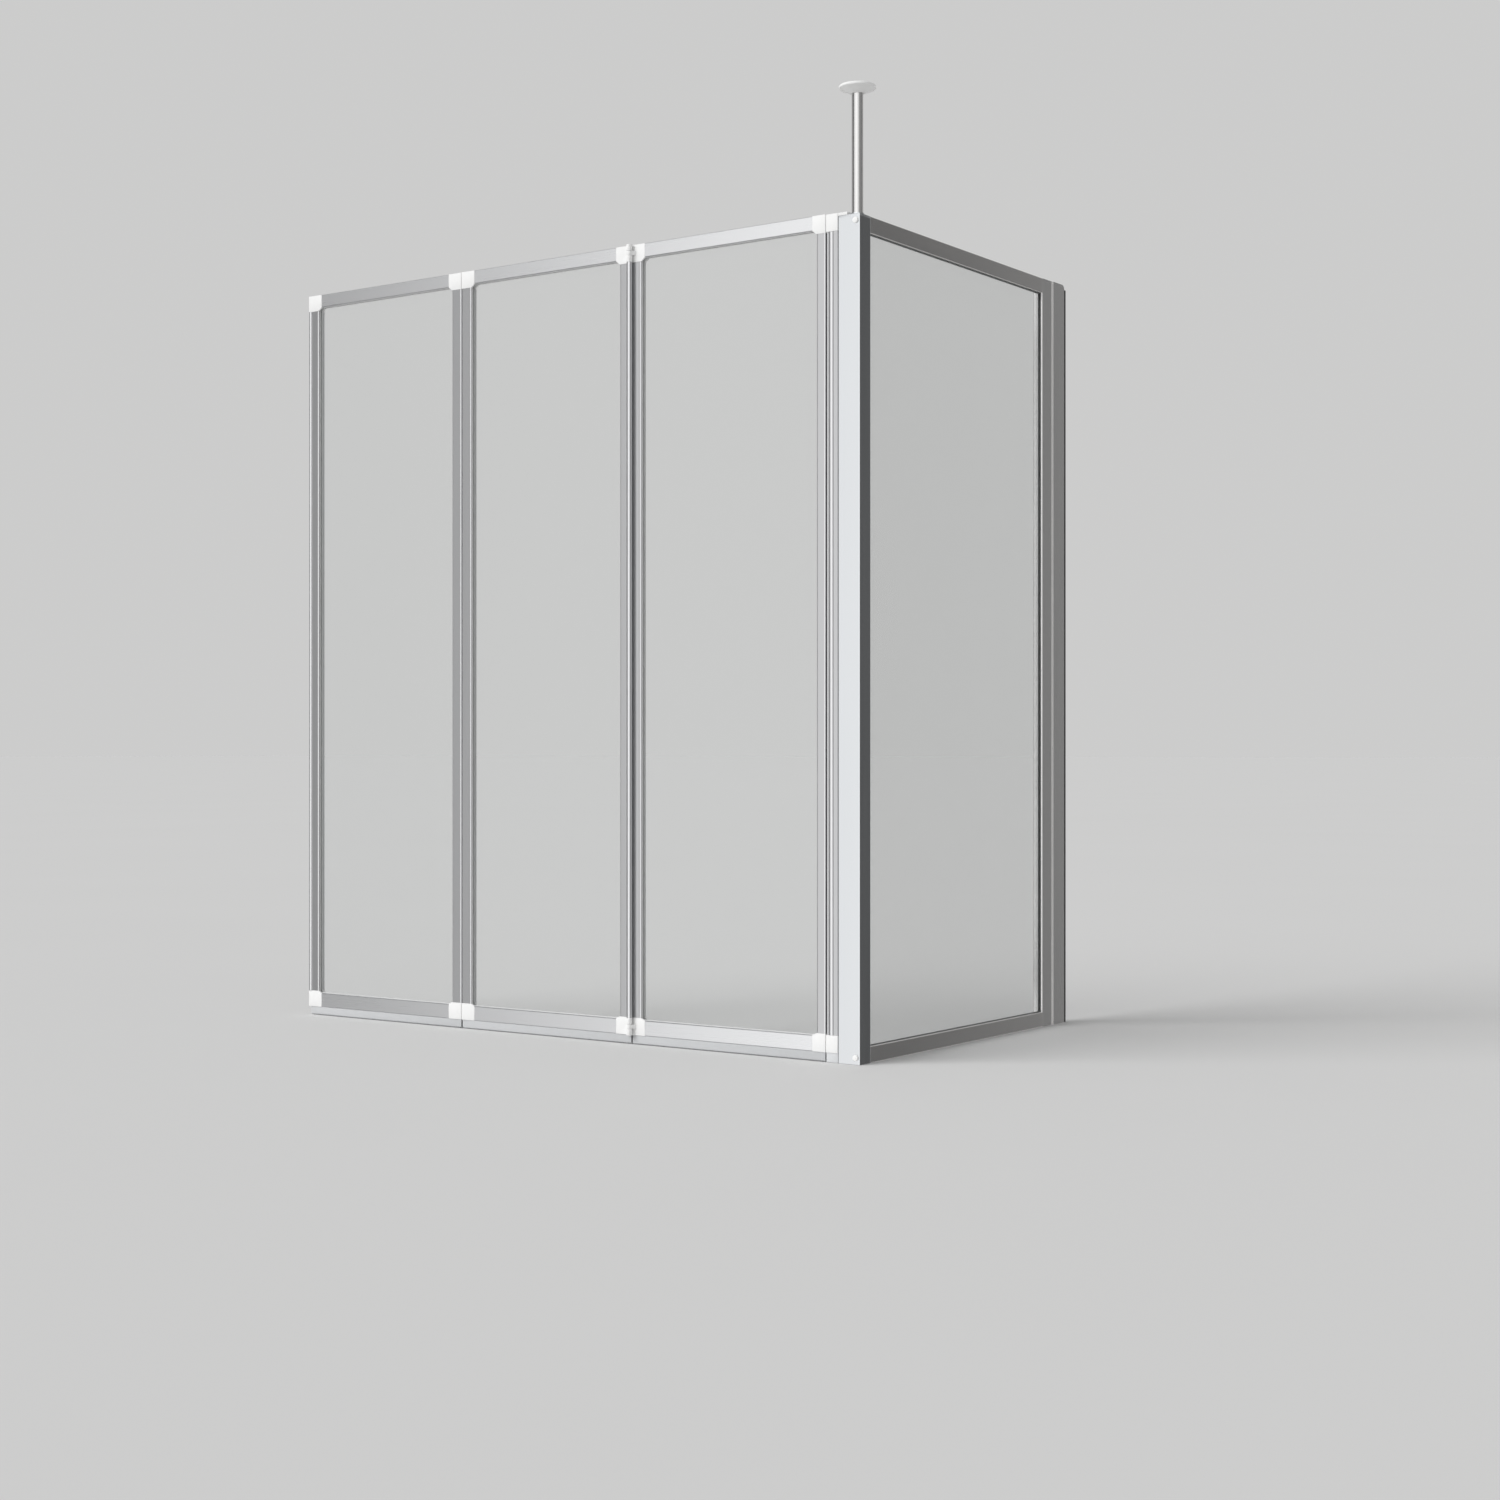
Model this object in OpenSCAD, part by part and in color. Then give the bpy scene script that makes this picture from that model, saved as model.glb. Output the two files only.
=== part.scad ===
// Folding bath screen: three hinged leaves and a fixed side panel, joined at a corner post,
// with a strut up to the ceiling. The origin is the centre of the post's foot on the bath rim.
// X runs to the right along the leaves, Y towards the wall, Z up. All sizes are in millimetres.

/* [Leaves] */
// Height of the leaves above the bath rim
leaf_h = 1400; // [1200:10:1500]
// Thickness of a leaf's frame
leaf_t = 24; // [20:0.5:28]
// Post hinge line to middle hinge line
near_pitch = 406; // [300:1:500]
// Middle hinge line to end hinge line
middle_pitch = 399; // [300:1:500]
// End hinge line to the free edge
end_pitch = 399; // [300:1:500]
// Gap between the edges of two leaves
seam = 1.6; // [1.2:0.2:3]
// Face width of the near leaf's stile at the post
near_right_w = 17.5; // [16.5:0.5:24]
// Face width of the near leaf's stile at the middle hinge
near_left_w = 20.5; // [16.5:0.5:26]
// Face width of the middle leaf's stile at the middle hinge
middle_right_w = 25.5; // [18:0.5:30]
// Face width of the two stiles at the end hinge
end_hinge_w = 23; // [16.5:0.5:30]
// Face width of the stile at the free edge
free_w = 26; // [18:0.5:34]
// Height of a leaf's top rail
top_rail_h = 24.5; // [22:0.5:30]
// Height of a leaf's bottom rail
bottom_rail_h = 27; // [24:0.5:32]
// Height of the drip strip under a leaf
drip_h = 16; // [13:1:22]
// Free space between the drip strip and the rim
drip_gap = 0.5; // [0.3:0.1:2]
// Thickness of the two lips that hold a pane
lip_t = 3; // [2.6:0.1:3.4]
// Width of the round bead along the free edge
free_bead_w = 8; // [6:0.5:10]
// How far the free edge's bead stands in front of the frame
free_bead_out = 2.5; // [1:0.1:3]
// Rounding of a profile's outer edges
edge_r = 1.2; // [0.6:0.1:1.5]
// Rounding of a frame profile's front edge beside the pane, and of a hinge stile's edge
front_r = 2.4; // [1.6:0.1:2.5]

/* [Corner pieces] */
// How far a corner piece reaches past the stile along the rail
corner_over = 8; // [4:0.5:12]
// How far a top corner piece reaches past the rail along the stile
top_drop = 6; // [3:0.2:10]
// How far a bottom corner piece reaches past the rail along the stile
bottom_drop = 3.6; // [3:0.2:10]
// How far a corner piece stands proud of the frame's faces
corner_proud = 0.6; // [0.3:0.1:0.8]
// Length of a corner piece's spigots
spigot = 20; // [16:1:30]

/* [Hinges] */
// Distance from a leaf's face to the line of its hinge pins
hinge_off = 6.5; // [6.4:0.1:8]
// Radius of the round bead along a hinge stile
bead_r = 4.9; // [4:0.1:5]
// Radius of the knuckles on the corner pieces
knuckle_r = 5.2; // [4.8:0.1:5.3]
// Radius of the hinge pins
pin_r = 2.5; // [2:0.1:2.8]
// Radial running clearance of a pin in its lug
pin_fit = 0.06; // [0.02:0.01:0.1]
// Height of the lug between the two knuckles
lug_h = 7.5; // [7:0.5:14]
// Gap between a lug and its knuckles
lug_gap = 0.4; // [0.3:0.1:0.8]
// How far a pin reaches into the bead
pin_reach = 12; // [6:1:30]

/* [Panes] */
// Thickness of the panes
pane_t = 4; // [3:0.5:5]
// Depth of the groove that holds a pane
groove = 8; // [7:0.5:9]
// Space between a pane's edge and the groove's floor
pane_edge_gap = 1; // [0.5:0.1:1.5]
// Thickness of a gasket strip's space beside the pane
gasket_t = 1.5; // [1:0.1:2]
// How far a gasket strip shows past the frame
gasket_lip = 0.8; // [0.5:0.1:2]

/* [Profiles] */
// Wall thickness of the aluminium profiles
wall_t = 1.6; // [1.2:0.1:1.8]
// Clearance between a plug or spigot and the profile around it
plug_fit = 0.2; // [0.1:0.05:0.4]

/* [Corner post] */
// Width of the post along the leaves
post_w = 42; // [40:1:60]
// Depth of the post towards the wall
post_d = 34; // [34:1:50]
// How far the tops of the post and the side panel lie below the tops of the leaves
side_step = 6; // [4:0.5:10]
// Thickness of the post's cap
post_cap_t = 4; // [3:0.5:6]
// Distance of the post's screws from its lower end and its top
post_screw_z = 11; // [10:0.5:14]
// Distance of the post's screws from its outer side
post_screw_in = 7.8; // [7:0.1:12]
// Radius of the covers on the post's screws
screw_cover_r = 5.2; // [4.2:0.1:6]

/* [Hinge profile] */
// Width of the hinge profile between the post and the near leaf
hinge_profile_w = 23.2; // [22:0.1:30]
// Width of the flat beside the post
hinge_flat_w = 8.5; // [6:0.5:9]
// Width of the shadow groove beside the post
shadow_w = 0.5; // [0.4:0.1:1.5]
// Radius of the round ridge along the profile
ridge_r = 5.6; // [3:0.1:5.8]
// Depth of the flank between the ridge and the near leaf
flank_v = 2.5; // [1.5:0.5:4]
// Depth of the recess behind the flat
relief = 6; // [4:0.5:6.5]
// Height of the hinge profile's end caps
hinge_cap_h = 28.7; // [28:0.1:34]
// Thickness of the tongue that lies on the post
tongue_t = 5; // [3:0.5:5.5]
// How far the tongue reaches over the post
tongue_l = 18; // [8:1:20]

/* [Side panel] */
// Post's back face to the back of the wall profile
side_reach = 687; // [500:1:900]
// Height of the side panel's rails
side_rail_h = 27.5; // [25:0.5:32]
// Face width of the side panel's stile that shows
side_stile_w = 40; // [24:1:50]
// Width of the wall profile
wall_profile_w = 44; // [36:1:60]
// Wall thickness of the wall profile
wall_profile_t = 1.8; // [1.5:0.1:2.5]
// How far the stile reaches into the wall profile
stile_tongue = 25; // [16:1:30]
// Rounding of the wall profile's upper back corner
wall_corner_r = 8; // [4:0.5:12]
// Thickness of the seal strips behind the wall profile
wall_seal_t = 8; // [3:0.5:10]
// Width of a seal strip
wall_seal_w = 4; // [3:0.5:5]
// How far the seal strips start below the profile's top
wall_seal_drop = 8; // [4:1:20]
// Distance between the two outer wall screw holes
wall_hole_outer = 1150; // [700:10:1200]
// Distance between the two inner wall screw holes
wall_hole_inner = 400; // [200:10:600]
// Radius of the wall screw holes
wall_hole_r = 2.75; // [2.25:0.25:3.5]
// Distance between the locking screws
lock_pitch = 480; // [300:10:550]

/* [Strut] */
// Height of the ceiling above the side panel
strut_h = 215; // [160:1:900]
// Outer diameter of the strut
strut_d = 19; // [18:0.5:22]
// Wall thickness of the strut
strut_wall = 1.5; // [1:0.1:2]
// Radius of the boss around the strut's foot
boss_r = 11.5; // [11.3:0.1:12]
// Height of the boss around the strut's foot
boss_h = 4; // [2:0.5:8]
// Strut's distance to the right of the post's centre
strut_x = 4.5; // [2:0.5:5]
// Strut's distance behind the post's centre
strut_y = 2.5; // [0:0.5:3]
// Radius of the ceiling cover
cover_r = 31; // [28:1:45]
// Height of the ceiling cover's straight rim
cover_rim = 4.5; // [4:0.5:8]
// Height of the ceiling cover
cover_h = 13.5; // [12:0.5:24]
// Radius of the ceiling cover where it meets the strut
cover_neck_r = 12; // [11.6:0.2:14]
// Radius of the circle of ceiling screws
ceiling_circle_r = 18; // [15:0.5:19]
// Radius of the ceiling screw holes
ceiling_hole_r = 2.25; // [1.75:0.25:2.5]

/* [Screws] */
// Radius of the small frame screws
frame_screw_r = 1.45; // [1:0.05:1.6]
// Radius of a small frame screw's head
frame_head_r = 2.8; // [2.2:0.1:3]
// Height of a small frame screw's head
frame_head_h = 1.6; // [1.2:0.1:2]
// Length of a small frame screw under its head
frame_screw_l = 12; // [8:0.5:14]
// Radius of the post's long screws
post_screw_r = 2.4; // [2:0.1:2.5]
// Radius of the strut's grub screws
grub_r = 2; // [1.5:0.1:2.5]

/* [Hidden] */

eps = 0.5;          // overshoot of a cut past a face
bore_fit = 0.05;    // radial clearance of a fixed screw or pin in its hole
strip_fit = 0.1;    // space on each side of a gasket strip
fine = 48;          // facets of a preview circle

aluminium = [0.80, 0.81, 0.83];
white_plastic = [0.96, 0.96, 0.95];
grey_plastic = [0.78, 0.79, 0.80];
clear_glass = [0.86, 0.92, 0.93, 0.35];
dark_rubber = [0.42, 0.43, 0.45];
black_rubber = [0.08, 0.08, 0.09];
steel = [0.62, 0.63, 0.65];

// Lines and planes that the pieces share
side_h = leaf_h - side_step;
ceiling_z = side_h + strut_h;
front_y = -post_d / 2;
post_left_x = -post_w / 2;
near_x = post_left_x - hinge_profile_w - seam / 2;
middle_x = near_x - near_pitch;
end_x = middle_x - middle_pitch;
frame_low = drip_h;
top_corner_h = top_rail_h + top_drop;
bottom_corner_h = bottom_rail_h + bottom_drop;
groove_w = pane_t + 2 * gasket_t;
groove_v = lip_t;
pane_v = lip_t + gasket_t;
lips_d = groove_w + 2 * lip_t;
chamber_d = leaf_t - 2 * wall_t;
channel_w = groove_w + 2 * wall_t;
neck_reach = 5;     // a neck's foot reaches this far past its round
neck_foot = 2;      // height of the neck's foot
neck_slope = 30;    // direction in which the neck's slope ends, from the round's middle
neck_sink = 0.8;    // the slope ends this far inside the round

// A leaf is [pitch, right stile width, left stile width, hinge side]:
// the hinge side is 1 where the pins stand behind the frame and -1 where they stand in front.
near_leaf = [near_pitch, near_right_w, near_left_w, 1];
middle_leaf = [middle_pitch, middle_right_w, end_hinge_w, -1];
end_leaf = [end_pitch, end_hinge_w, free_w, 1];

function pitch_of(leaf) = leaf[0];
function right_w(leaf) = leaf[1];
function left_w(leaf) = leaf[2];
function hinge_side(leaf) = leaf[3];

// Inner edges of the stiles and the ends of the rails, from the leaf's own hinge line
function right_in(leaf) = -seam / 2 - right_w(leaf);
function left_in(leaf) = -pitch_of(leaf) + seam / 2 + left_w(leaf);
function rail_right(leaf) = right_in(leaf) - corner_over;
function rail_left(leaf) = left_in(leaf) + corner_over;

top_in = leaf_h - top_rail_h;
bottom_in = frame_low + bottom_rail_h;
stile_top = leaf_h - top_corner_h;
stile_bottom = frame_low + bottom_corner_h;

// Depth of the pin line from the front face, for a hinge in front or behind
function pin_v(side) = side > 0 ? leaf_t + hinge_off : -hinge_off;

// ---------- plane shapes ----------

module rounded_box_2d(w, h, r) {
  translate([r, 0]) square([w - 2 * r, h]);
  translate([0, r]) square([w, h - 2 * r]);
  for (x = [r, w - r]) {
    for (y = [r, h - r]) translate([x, y]) circle(r, $fn = 24);
  }
}

// Section of a frame profile: u runs from the outer edge to the pane, v from front to back.
// A hollow body as deep as the leaf carries the two lips that hold the pane near the front.
module profile_2d(w, outer_r = edge_r) {
  difference() {
    union() {
      difference() {
        union() {
          rounded_box_2d(w - groove, leaf_t, edge_r);
          translate([edge_r, 0]) rounded_box_2d(w - edge_r, lips_d, edge_r);
        }
        translate([-eps, -eps]) square([outer_r + eps, outer_r + eps]);
        translate([w - front_r, -eps]) square([front_r + eps, front_r + eps]);
      }
      translate([outer_r, outer_r]) circle(outer_r, $fn = 24);
      translate([w - front_r, front_r]) circle(front_r, $fn = 24);
    }
    translate([wall_t, wall_t]) square([w - groove - 2 * wall_t, chamber_d]);
    translate([w - groove, groove_v]) square([groove + eps, groove_w]);
  }
}

// Neck from the frame's face to a round of radius r on the pin line.
// u runs along the leaf, away from the seam. Its slope ends inside the round.
module neck_2d(r) {
  root = r + neck_reach;
  inside = r - neck_sink;
  slope_end = [inside * cos(neck_slope), -hinge_off - inside * sin(neck_slope)];
  polygon([[0, 0], [root, 0], [root, -neck_foot], slope_end, [0, -hinge_off]]);
}

// ---------- leaf pieces, drawn from the leaf's own hinge line ----------

module at_leaf(x) {
  translate([x, front_y, 0]) children();
}

// Puts a shape drawn for a front hinge on the leaf's hinge side
module on_side(side) {
  if (side > 0) translate([0, leaf_t, 0]) mirror([0, 1, 0]) children();
  else children();
}

// The stile at the leaf's hinge line, with the bead that holds the pins
module right_stile(leaf) {
  h = stile_top - stile_bottom;
  color(aluminium) {
    translate([-seam / 2, 0, stile_bottom]) mirror([1, 0, 0])
      linear_extrude(h)
        profile_2d(right_w(leaf), hinge_side(leaf) > 0 ? front_r : edge_r);
    on_side(hinge_side(leaf)) translate([0, 0, stile_bottom]) mirror([1, 0, 0])
      linear_extrude(h) difference() {
        union() {
          translate([0, -hinge_off]) circle(bead_r, $fn = fine);
          neck_2d(bead_r);
          translate([seam / 2 + edge_r, -eps]) square([bead_r + neck_foot, wall_t]);
        }
        translate([0, -hinge_off]) circle(pin_r + bore_fit, $fn = fine);
        translate([-eps, -edge_r]) square([eps + seam / 2, edge_r + wall_t]);
      }
  }
}

// Round bead along the free edge, flush with it and standing out in front
module free_bead_2d() {
  r = free_bead_w / 2;
  intersection() {
    translate([r, r - free_bead_out]) circle(r, $fn = fine);
    translate([0, -free_bead_out]) square([free_bead_w, free_bead_out + wall_t / 2]);
  }
}

module left_stile(leaf, free) {
  color(aluminium) difference() {
    translate([-pitch_of(leaf) + seam / 2, 0, stile_bottom])
      linear_extrude(stile_top - stile_bottom) {
        profile_2d(left_w(leaf));
        if (free) free_bead_2d();
      }
    back_hole(left_screw_x(leaf), stile_top - screw_in);
    back_hole(left_screw_x(leaf), stile_bottom + screw_in);
  }
}

drip_rib = 2.4;     // thickness of the rib that holds the drip strip
drip_head = 5.2;    // width of the rib's head inside the rail
drip_head_h = 1.8;  // height of the rib's head
drip_fit = 0.3;     // clearance of the rib in its slot
drip_seat = 0.2;    // gap between the strip and the rail
drip_t = 1.6;       // wall thickness of the drip strip
drip_r = 3;         // rounding of the strip's lower edges
drip_in = 0.8;      // the strip is this much thinner than the leaf, at front and back
drip_end = 0.9;     // the strip ends this far short of the leaf's edges
free_end = 4.5;       // the end leaf's strip ends this far short of the free edge

module rail_2d(h, slotted) {
  difference() {
    profile_2d(h);
    if (slotted) translate([-eps, (leaf_t - drip_rib) / 2 - drip_fit])
      square([wall_t + 2 * eps, drip_rib + 2 * drip_fit]);
  }
}

module top_rail(leaf) {
  color(aluminium) difference() {
    translate([rail_left(leaf), 0, leaf_h]) rotate([0, 90, 0])
      linear_extrude(rail_right(leaf) - rail_left(leaf)) rail_2d(top_rail_h, false);
    rail_screw_holes(leaf, top_screw_z());
  }
}

module bottom_rail(leaf) {
  color(aluminium) difference() {
    translate([rail_left(leaf), 0, frame_low]) mirror([0, 0, 1]) rotate([0, 90, 0])
      linear_extrude(rail_right(leaf) - rail_left(leaf)) rail_2d(bottom_rail_h, true);
    rail_screw_holes(leaf, bottom_screw_z());
  }
}

// Middle of the hollow chamber in a profile of width w, from its outer edge
function chamber_mid(w) = wall_t + (w - groove - 2 * wall_t) / 2;
function top_screw_z() = leaf_h - chamber_mid(top_rail_h);
function bottom_screw_z() = frame_low + chamber_mid(bottom_rail_h);
function left_screw_x(leaf) = -pitch_of(leaf) + seam / 2 + chamber_mid(left_w(leaf));
screw_in = spigot / 2;

module back_hole(x, z) {
  translate([x, leaf_t + eps, z]) rotate([90, 0, 0])
    cylinder(r = frame_screw_r + bore_fit, h = frame_screw_l + 2 * eps, $fn = 24);
}

module rail_screw_holes(leaf, z) {
  back_hole(rail_right(leaf) - screw_in, z);
  back_hole(rail_left(leaf) + screw_in, z);
}

module frame_screw(x, z) {
  translate([x, leaf_t, z]) rotate([90, 0, 0])
    cylinder(r = frame_screw_r, h = frame_screw_l, $fn = 24);
  translate([x, leaf_t, z]) rotate([-90, 0, 0])
    cylinder(r = frame_head_r, h = frame_head_h, $fn = 24);
}

// Screws that hold the corner pieces' spigots; at the right stile the hinge pins do that
module frame_screws(leaf) {
  color(steel) for (top = [true, false]) {
    z_rail = top ? top_screw_z() : bottom_screw_z();
    z_stile = top ? stile_top - screw_in : stile_bottom + screw_in;
    frame_screw(rail_right(leaf) - screw_in, z_rail);
    frame_screw(rail_left(leaf) + screw_in, z_rail);
    frame_screw(left_screw_x(leaf), z_stile);
  }
}

// Corner piece: w is the stile's width. u runs from the leaf's edge, q from the frame's upper
// or lower edge. The stile's spigot has a screw hole where stile_screw is true.
module corner_block(w, rail_h, drop, stile_screw) {
  h = rail_h + drop;
  in_u = w + corner_over;
  outline = [[0, 0], [in_u, 0], [in_u, rail_h], [w, h], [0, h]];
  difference() {
    union() {
      translate([0, leaf_t + corner_proud, 0]) rotate([90, 0, 0])
        linear_extrude(leaf_t + 2 * corner_proud) polygon(outline);
      translate([wall_t + plug_fit, wall_t + plug_fit, h - eps])
        cube([w - groove - 2 * wall_t - 2 * plug_fit, chamber_d - 2 * plug_fit, spigot + eps]);
      translate([in_u - eps, wall_t + plug_fit, wall_t + plug_fit])
        cube([spigot + eps, chamber_d - 2 * plug_fit, rail_h - groove - 2 * wall_t - 2 * plug_fit]);
    }
    translate([w - groove, groove_v, rail_h - groove])
      cube([groove + corner_over + eps, groove_w, groove + drop + eps]);
    translate([w - groove, lips_d + corner_proud, rail_h - groove])
      cube([groove + corner_over + eps, leaf_t, groove + drop + eps]);
    if (stile_screw) back_hole(chamber_mid(w), h + screw_in);
    back_hole(in_u + screw_in, chamber_mid(rail_h));
  }
}

// Knuckles at [low, high] heights, joined to a corner piece on the leaf's face.
// u runs along the leaf, away from the seam.
module knuckle(side, low, high, bore) {
  on_side(side) translate([0, 0, low]) linear_extrude(high - low) difference() {
    union() {
      translate([0, -hinge_off]) circle(knuckle_r, $fn = fine);
      difference() {
        neck_2d(knuckle_r);
        translate([-eps, -corner_proud - edge_r]) square([seam / 2 + eps, corner_proud + edge_r + eps]);
      }
    }
    translate([0, -hinge_off]) circle(bore, $fn = fine);
  }
}

// Heights of the knuckles and the lug in the stack over a corner piece of height h
function lug_low(h) = (h - lug_h) / 2;
function lug_high(h) = (h + lug_h) / 2;

module knuckle_pair(side, low, h) {
  knuckle(side, low, low + lug_low(h) - lug_gap, pin_r + bore_fit);
  knuckle(side, low + lug_high(h) + lug_gap, low + h, pin_r + bore_fit);
}

module hinge_lug(side, low, h) {
  knuckle(side, low + lug_low(h), low + lug_high(h), pin_r + pin_fit);
}

module top_right_corner(leaf) {
  color(white_plastic) mirror([1, 0, 0]) {
    translate([seam / 2, 0, leaf_h]) mirror([0, 0, 1])
      corner_block(right_w(leaf), top_rail_h, top_drop, false);
    knuckle_pair(hinge_side(leaf), stile_top, top_corner_h);
  }
}

module bottom_right_corner(leaf) {
  color(white_plastic) mirror([1, 0, 0]) {
    translate([seam / 2, 0, frame_low])
      corner_block(right_w(leaf), bottom_rail_h, bottom_drop, false);
    knuckle_pair(hinge_side(leaf), frame_low, bottom_corner_h);
  }
}

// The left corners carry the lugs of the next leaf's hinge; lug_side 0 leaves them out
module top_left_corner(leaf, lug_side) {
  color(white_plastic) translate([-pitch_of(leaf), 0, 0]) {
    translate([seam / 2, 0, leaf_h]) mirror([0, 0, 1])
      corner_block(left_w(leaf), top_rail_h, top_drop, true);
    if (lug_side != 0) hinge_lug(lug_side, stile_top, top_corner_h);
  }
}

module bottom_left_corner(leaf, lug_side) {
  color(white_plastic) translate([-pitch_of(leaf), 0, 0]) {
    translate([seam / 2, 0, frame_low])
      corner_block(left_w(leaf), bottom_rail_h, bottom_drop, true);
    if (lug_side != 0) hinge_lug(lug_side, frame_low, bottom_corner_h);
  }
}

pin_in = 1;         // a pin's end lies this far inside its outer knuckle

module hinge_pins(side) {
  color(steel) translate([0, pin_v(side), 0]) {
    translate([0, 0, frame_low + pin_in])
      cylinder(r = pin_r, h = bottom_corner_h - pin_in + pin_reach, $fn = fine);
    translate([0, 0, stile_top - pin_reach])
      cylinder(r = pin_r, h = top_corner_h - pin_in + pin_reach, $fn = fine);
  }
}

module pane(leaf) {
  into = groove - pane_edge_gap;
  x_low = left_in(leaf) - into;
  x_high = right_in(leaf) + into;
  z_low = bottom_in - into;
  color(clear_glass) translate([x_low, pane_v, z_low])
    cube([x_high - x_low, pane_t, top_in + into - z_low]);
}

// Four strips in front of the pane and four behind it, inside [x_low, x_high] x [z_low, z_high],
// the frame's inner edges. lip is how far they show.
module gasket_strips(x_low, x_high, z_low, z_high, lip) {
  into = groove - strip_fit;
  thick = gasket_t - 2 * strip_fit;
  for (v = [groove_v + strip_fit, pane_v + pane_t + strip_fit]) {
    for (x = [x_low - into, x_high - lip]) translate([x, v, z_low - into])
      cube([into + lip, thick, z_high - z_low + 2 * into]);
    for (z = [z_low - into, z_high - lip]) translate([x_low + lip + strip_fit, v, z])
      cube([x_high - x_low - 2 * lip - 2 * strip_fit, thick, into + lip]);
  }
}

module gasket(leaf) {
  color(dark_rubber)
    gasket_strips(left_in(leaf), right_in(leaf), bottom_in, top_in, gasket_lip);
}

// Hollow section of the drip strip; its rib hooks into the bottom rail's slot
module drip_2d() {
  w = leaf_t - 2 * drip_in;
  h = drip_h - drip_seat - drip_gap;
  translate([drip_in, drip_gap]) difference() {
    union() {
      rounded_box_2d(w, h, drip_r);
      translate([0, h / 2]) square([w, h / 2]);
    }
    translate([drip_t, drip_t]) rounded_box_2d(w - 2 * drip_t, h - 2 * drip_t, drip_t);
  }
}

module drip_rib_2d() {
  low = drip_h - drip_seat - drip_t / 2;
  head = drip_h + wall_t + drip_fit;
  translate([(leaf_t - drip_rib) / 2, low]) square([drip_rib, head - low + eps]);
  translate([(leaf_t - drip_head) / 2, head]) square([drip_head, drip_head_h]);
}

// Strip under a leaf; left_end is how far it ends short of the leaf's left edge
module drip_strip(leaf, left_end) {
  x_low = -pitch_of(leaf) + seam / 2 + left_end;
  x_high = -seam / 2 - drip_end;
  rib_low = rail_left(leaf) + spigot + drip_end;
  rib_high = rail_right(leaf) - spigot - drip_end;
  color(grey_plastic) {
    translate([x_low, 0, 0]) rotate([90, 0, 90]) linear_extrude(x_high - x_low) drip_2d();
    translate([rib_low, 0, 0]) rotate([90, 0, 90]) linear_extrude(rib_high - rib_low) drip_rib_2d();
  }
}

// ---------- corner post ----------

side_mid_x = post_w / 2 - groove_v - groove_w / 2; // middle of the side pane's groove
post_screw_x = post_w / 2 - post_screw_in;
post_top = side_h - post_cap_t;
spigot_r = strut_d / 2 - strut_wall - 0.1;
strut_low = side_h + 0.2;
plug_h = 5;         // depth of the plugs in the post's ends
plug_t = 4;         // wall thickness of the plugs
strut_grip = 36;    // how far the strut slides over its spigot
ceiling_grip = 20;  // how far the ceiling base reaches into the strut
boss_fit = 0.2;     // clearance between the strut and the boss around it
screw_fit = 0.4;    // clearance of a long screw in a plug

// A row of two screws along Y, at the lower and upper screw heights
module at_post_screws(y) {
  for (z = [post_screw_z, side_h - post_screw_z])
    translate([post_screw_x, y, z]) rotate([-90, 0, 0]) children();
}

module corner_post() {
  color(aluminium) difference() {
    linear_extrude(post_top) difference() {
      union() {
        difference() {
          translate([-post_w / 2, -post_d / 2]) rounded_box_2d(post_w, post_d, edge_r);
          translate([-post_w / 2 + wall_t, -post_d / 2 + wall_t])
            square([post_w - 2 * wall_t, post_d - 2 * wall_t]);
        }
        translate([side_mid_x - channel_w / 2, post_d / 2 - groove - wall_t])
          square([channel_w, groove + wall_t - edge_r]);
      }
      translate([side_mid_x - groove_w / 2, post_d / 2 - groove])
        square([groove_w, groove + eps]);
    }
    at_post_screws(-post_d / 2 - eps)
      cylinder(r = post_screw_r + bore_fit, h = post_d + 2 * eps, $fn = 24);
  }
}

// Section of the plugs that close the post's ends, clear of the pane's channel
module post_plug_2d(inset) {
  difference() {
    translate([-post_w / 2 + inset, -post_d / 2 + inset])
      square([post_w - 2 * inset, post_d - 2 * inset]);
    translate([side_mid_x - channel_w / 2 - plug_fit, post_d / 2 - groove - wall_t - plug_fit])
      square([channel_w + 2 * plug_fit, groove + wall_t + plug_fit]);
  }
}

module post_plug_ring_2d() {
  difference() {
    post_plug_2d(wall_t + plug_fit);
    intersection() {
      post_plug_2d(wall_t + plug_fit + plug_t);
      translate([-post_w / 2, -post_d / 2])
        square([post_w, post_d - groove - wall_t - plug_fit - plug_t]);
    }
  }
}

// Cast cap on the post, with the plug below it and the boss and spigot that carry the strut
module post_cap() {
  color(aluminium) difference() {
    union() {
      translate([-post_w / 2, -post_d / 2, post_top])
        linear_extrude(post_cap_t) rounded_box_2d(post_w, post_d, edge_r);
      translate([0, 0, post_top - plug_h]) linear_extrude(plug_h + eps) post_plug_ring_2d();
      translate([strut_x, strut_y, side_h - eps]) {
        cylinder(r = spigot_r, h = strut_grip + eps, $fn = fine);
        difference() {
          cylinder(r = boss_r, h = boss_h + eps, $fn = fine);
          translate([0, 0, eps]) cylinder(r = strut_d / 2 + boss_fit, h = boss_h + eps, $fn = fine);
        }
      }
    }
    at_post_screws(-post_d / 2 - eps)
      cylinder(r = post_screw_r + screw_fit, h = post_d + 2 * eps, $fn = 24);
    translate([strut_x, strut_y, 0]) grub_hole(grub_z[0]);
  }
}

foot_t = 3;         // thickness of the post's foot plate inside the profile

module post_foot() {
  color(grey_plastic) difference() {
    union() {
      linear_extrude(foot_t) post_plug_2d(wall_t + plug_fit);
      linear_extrude(foot_t + plug_h) post_plug_ring_2d();
    }
    at_post_screws(-post_d / 2 - eps)
      cylinder(r = post_screw_r + screw_fit, h = post_d + 2 * eps, $fn = 24);
  }
}

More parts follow.
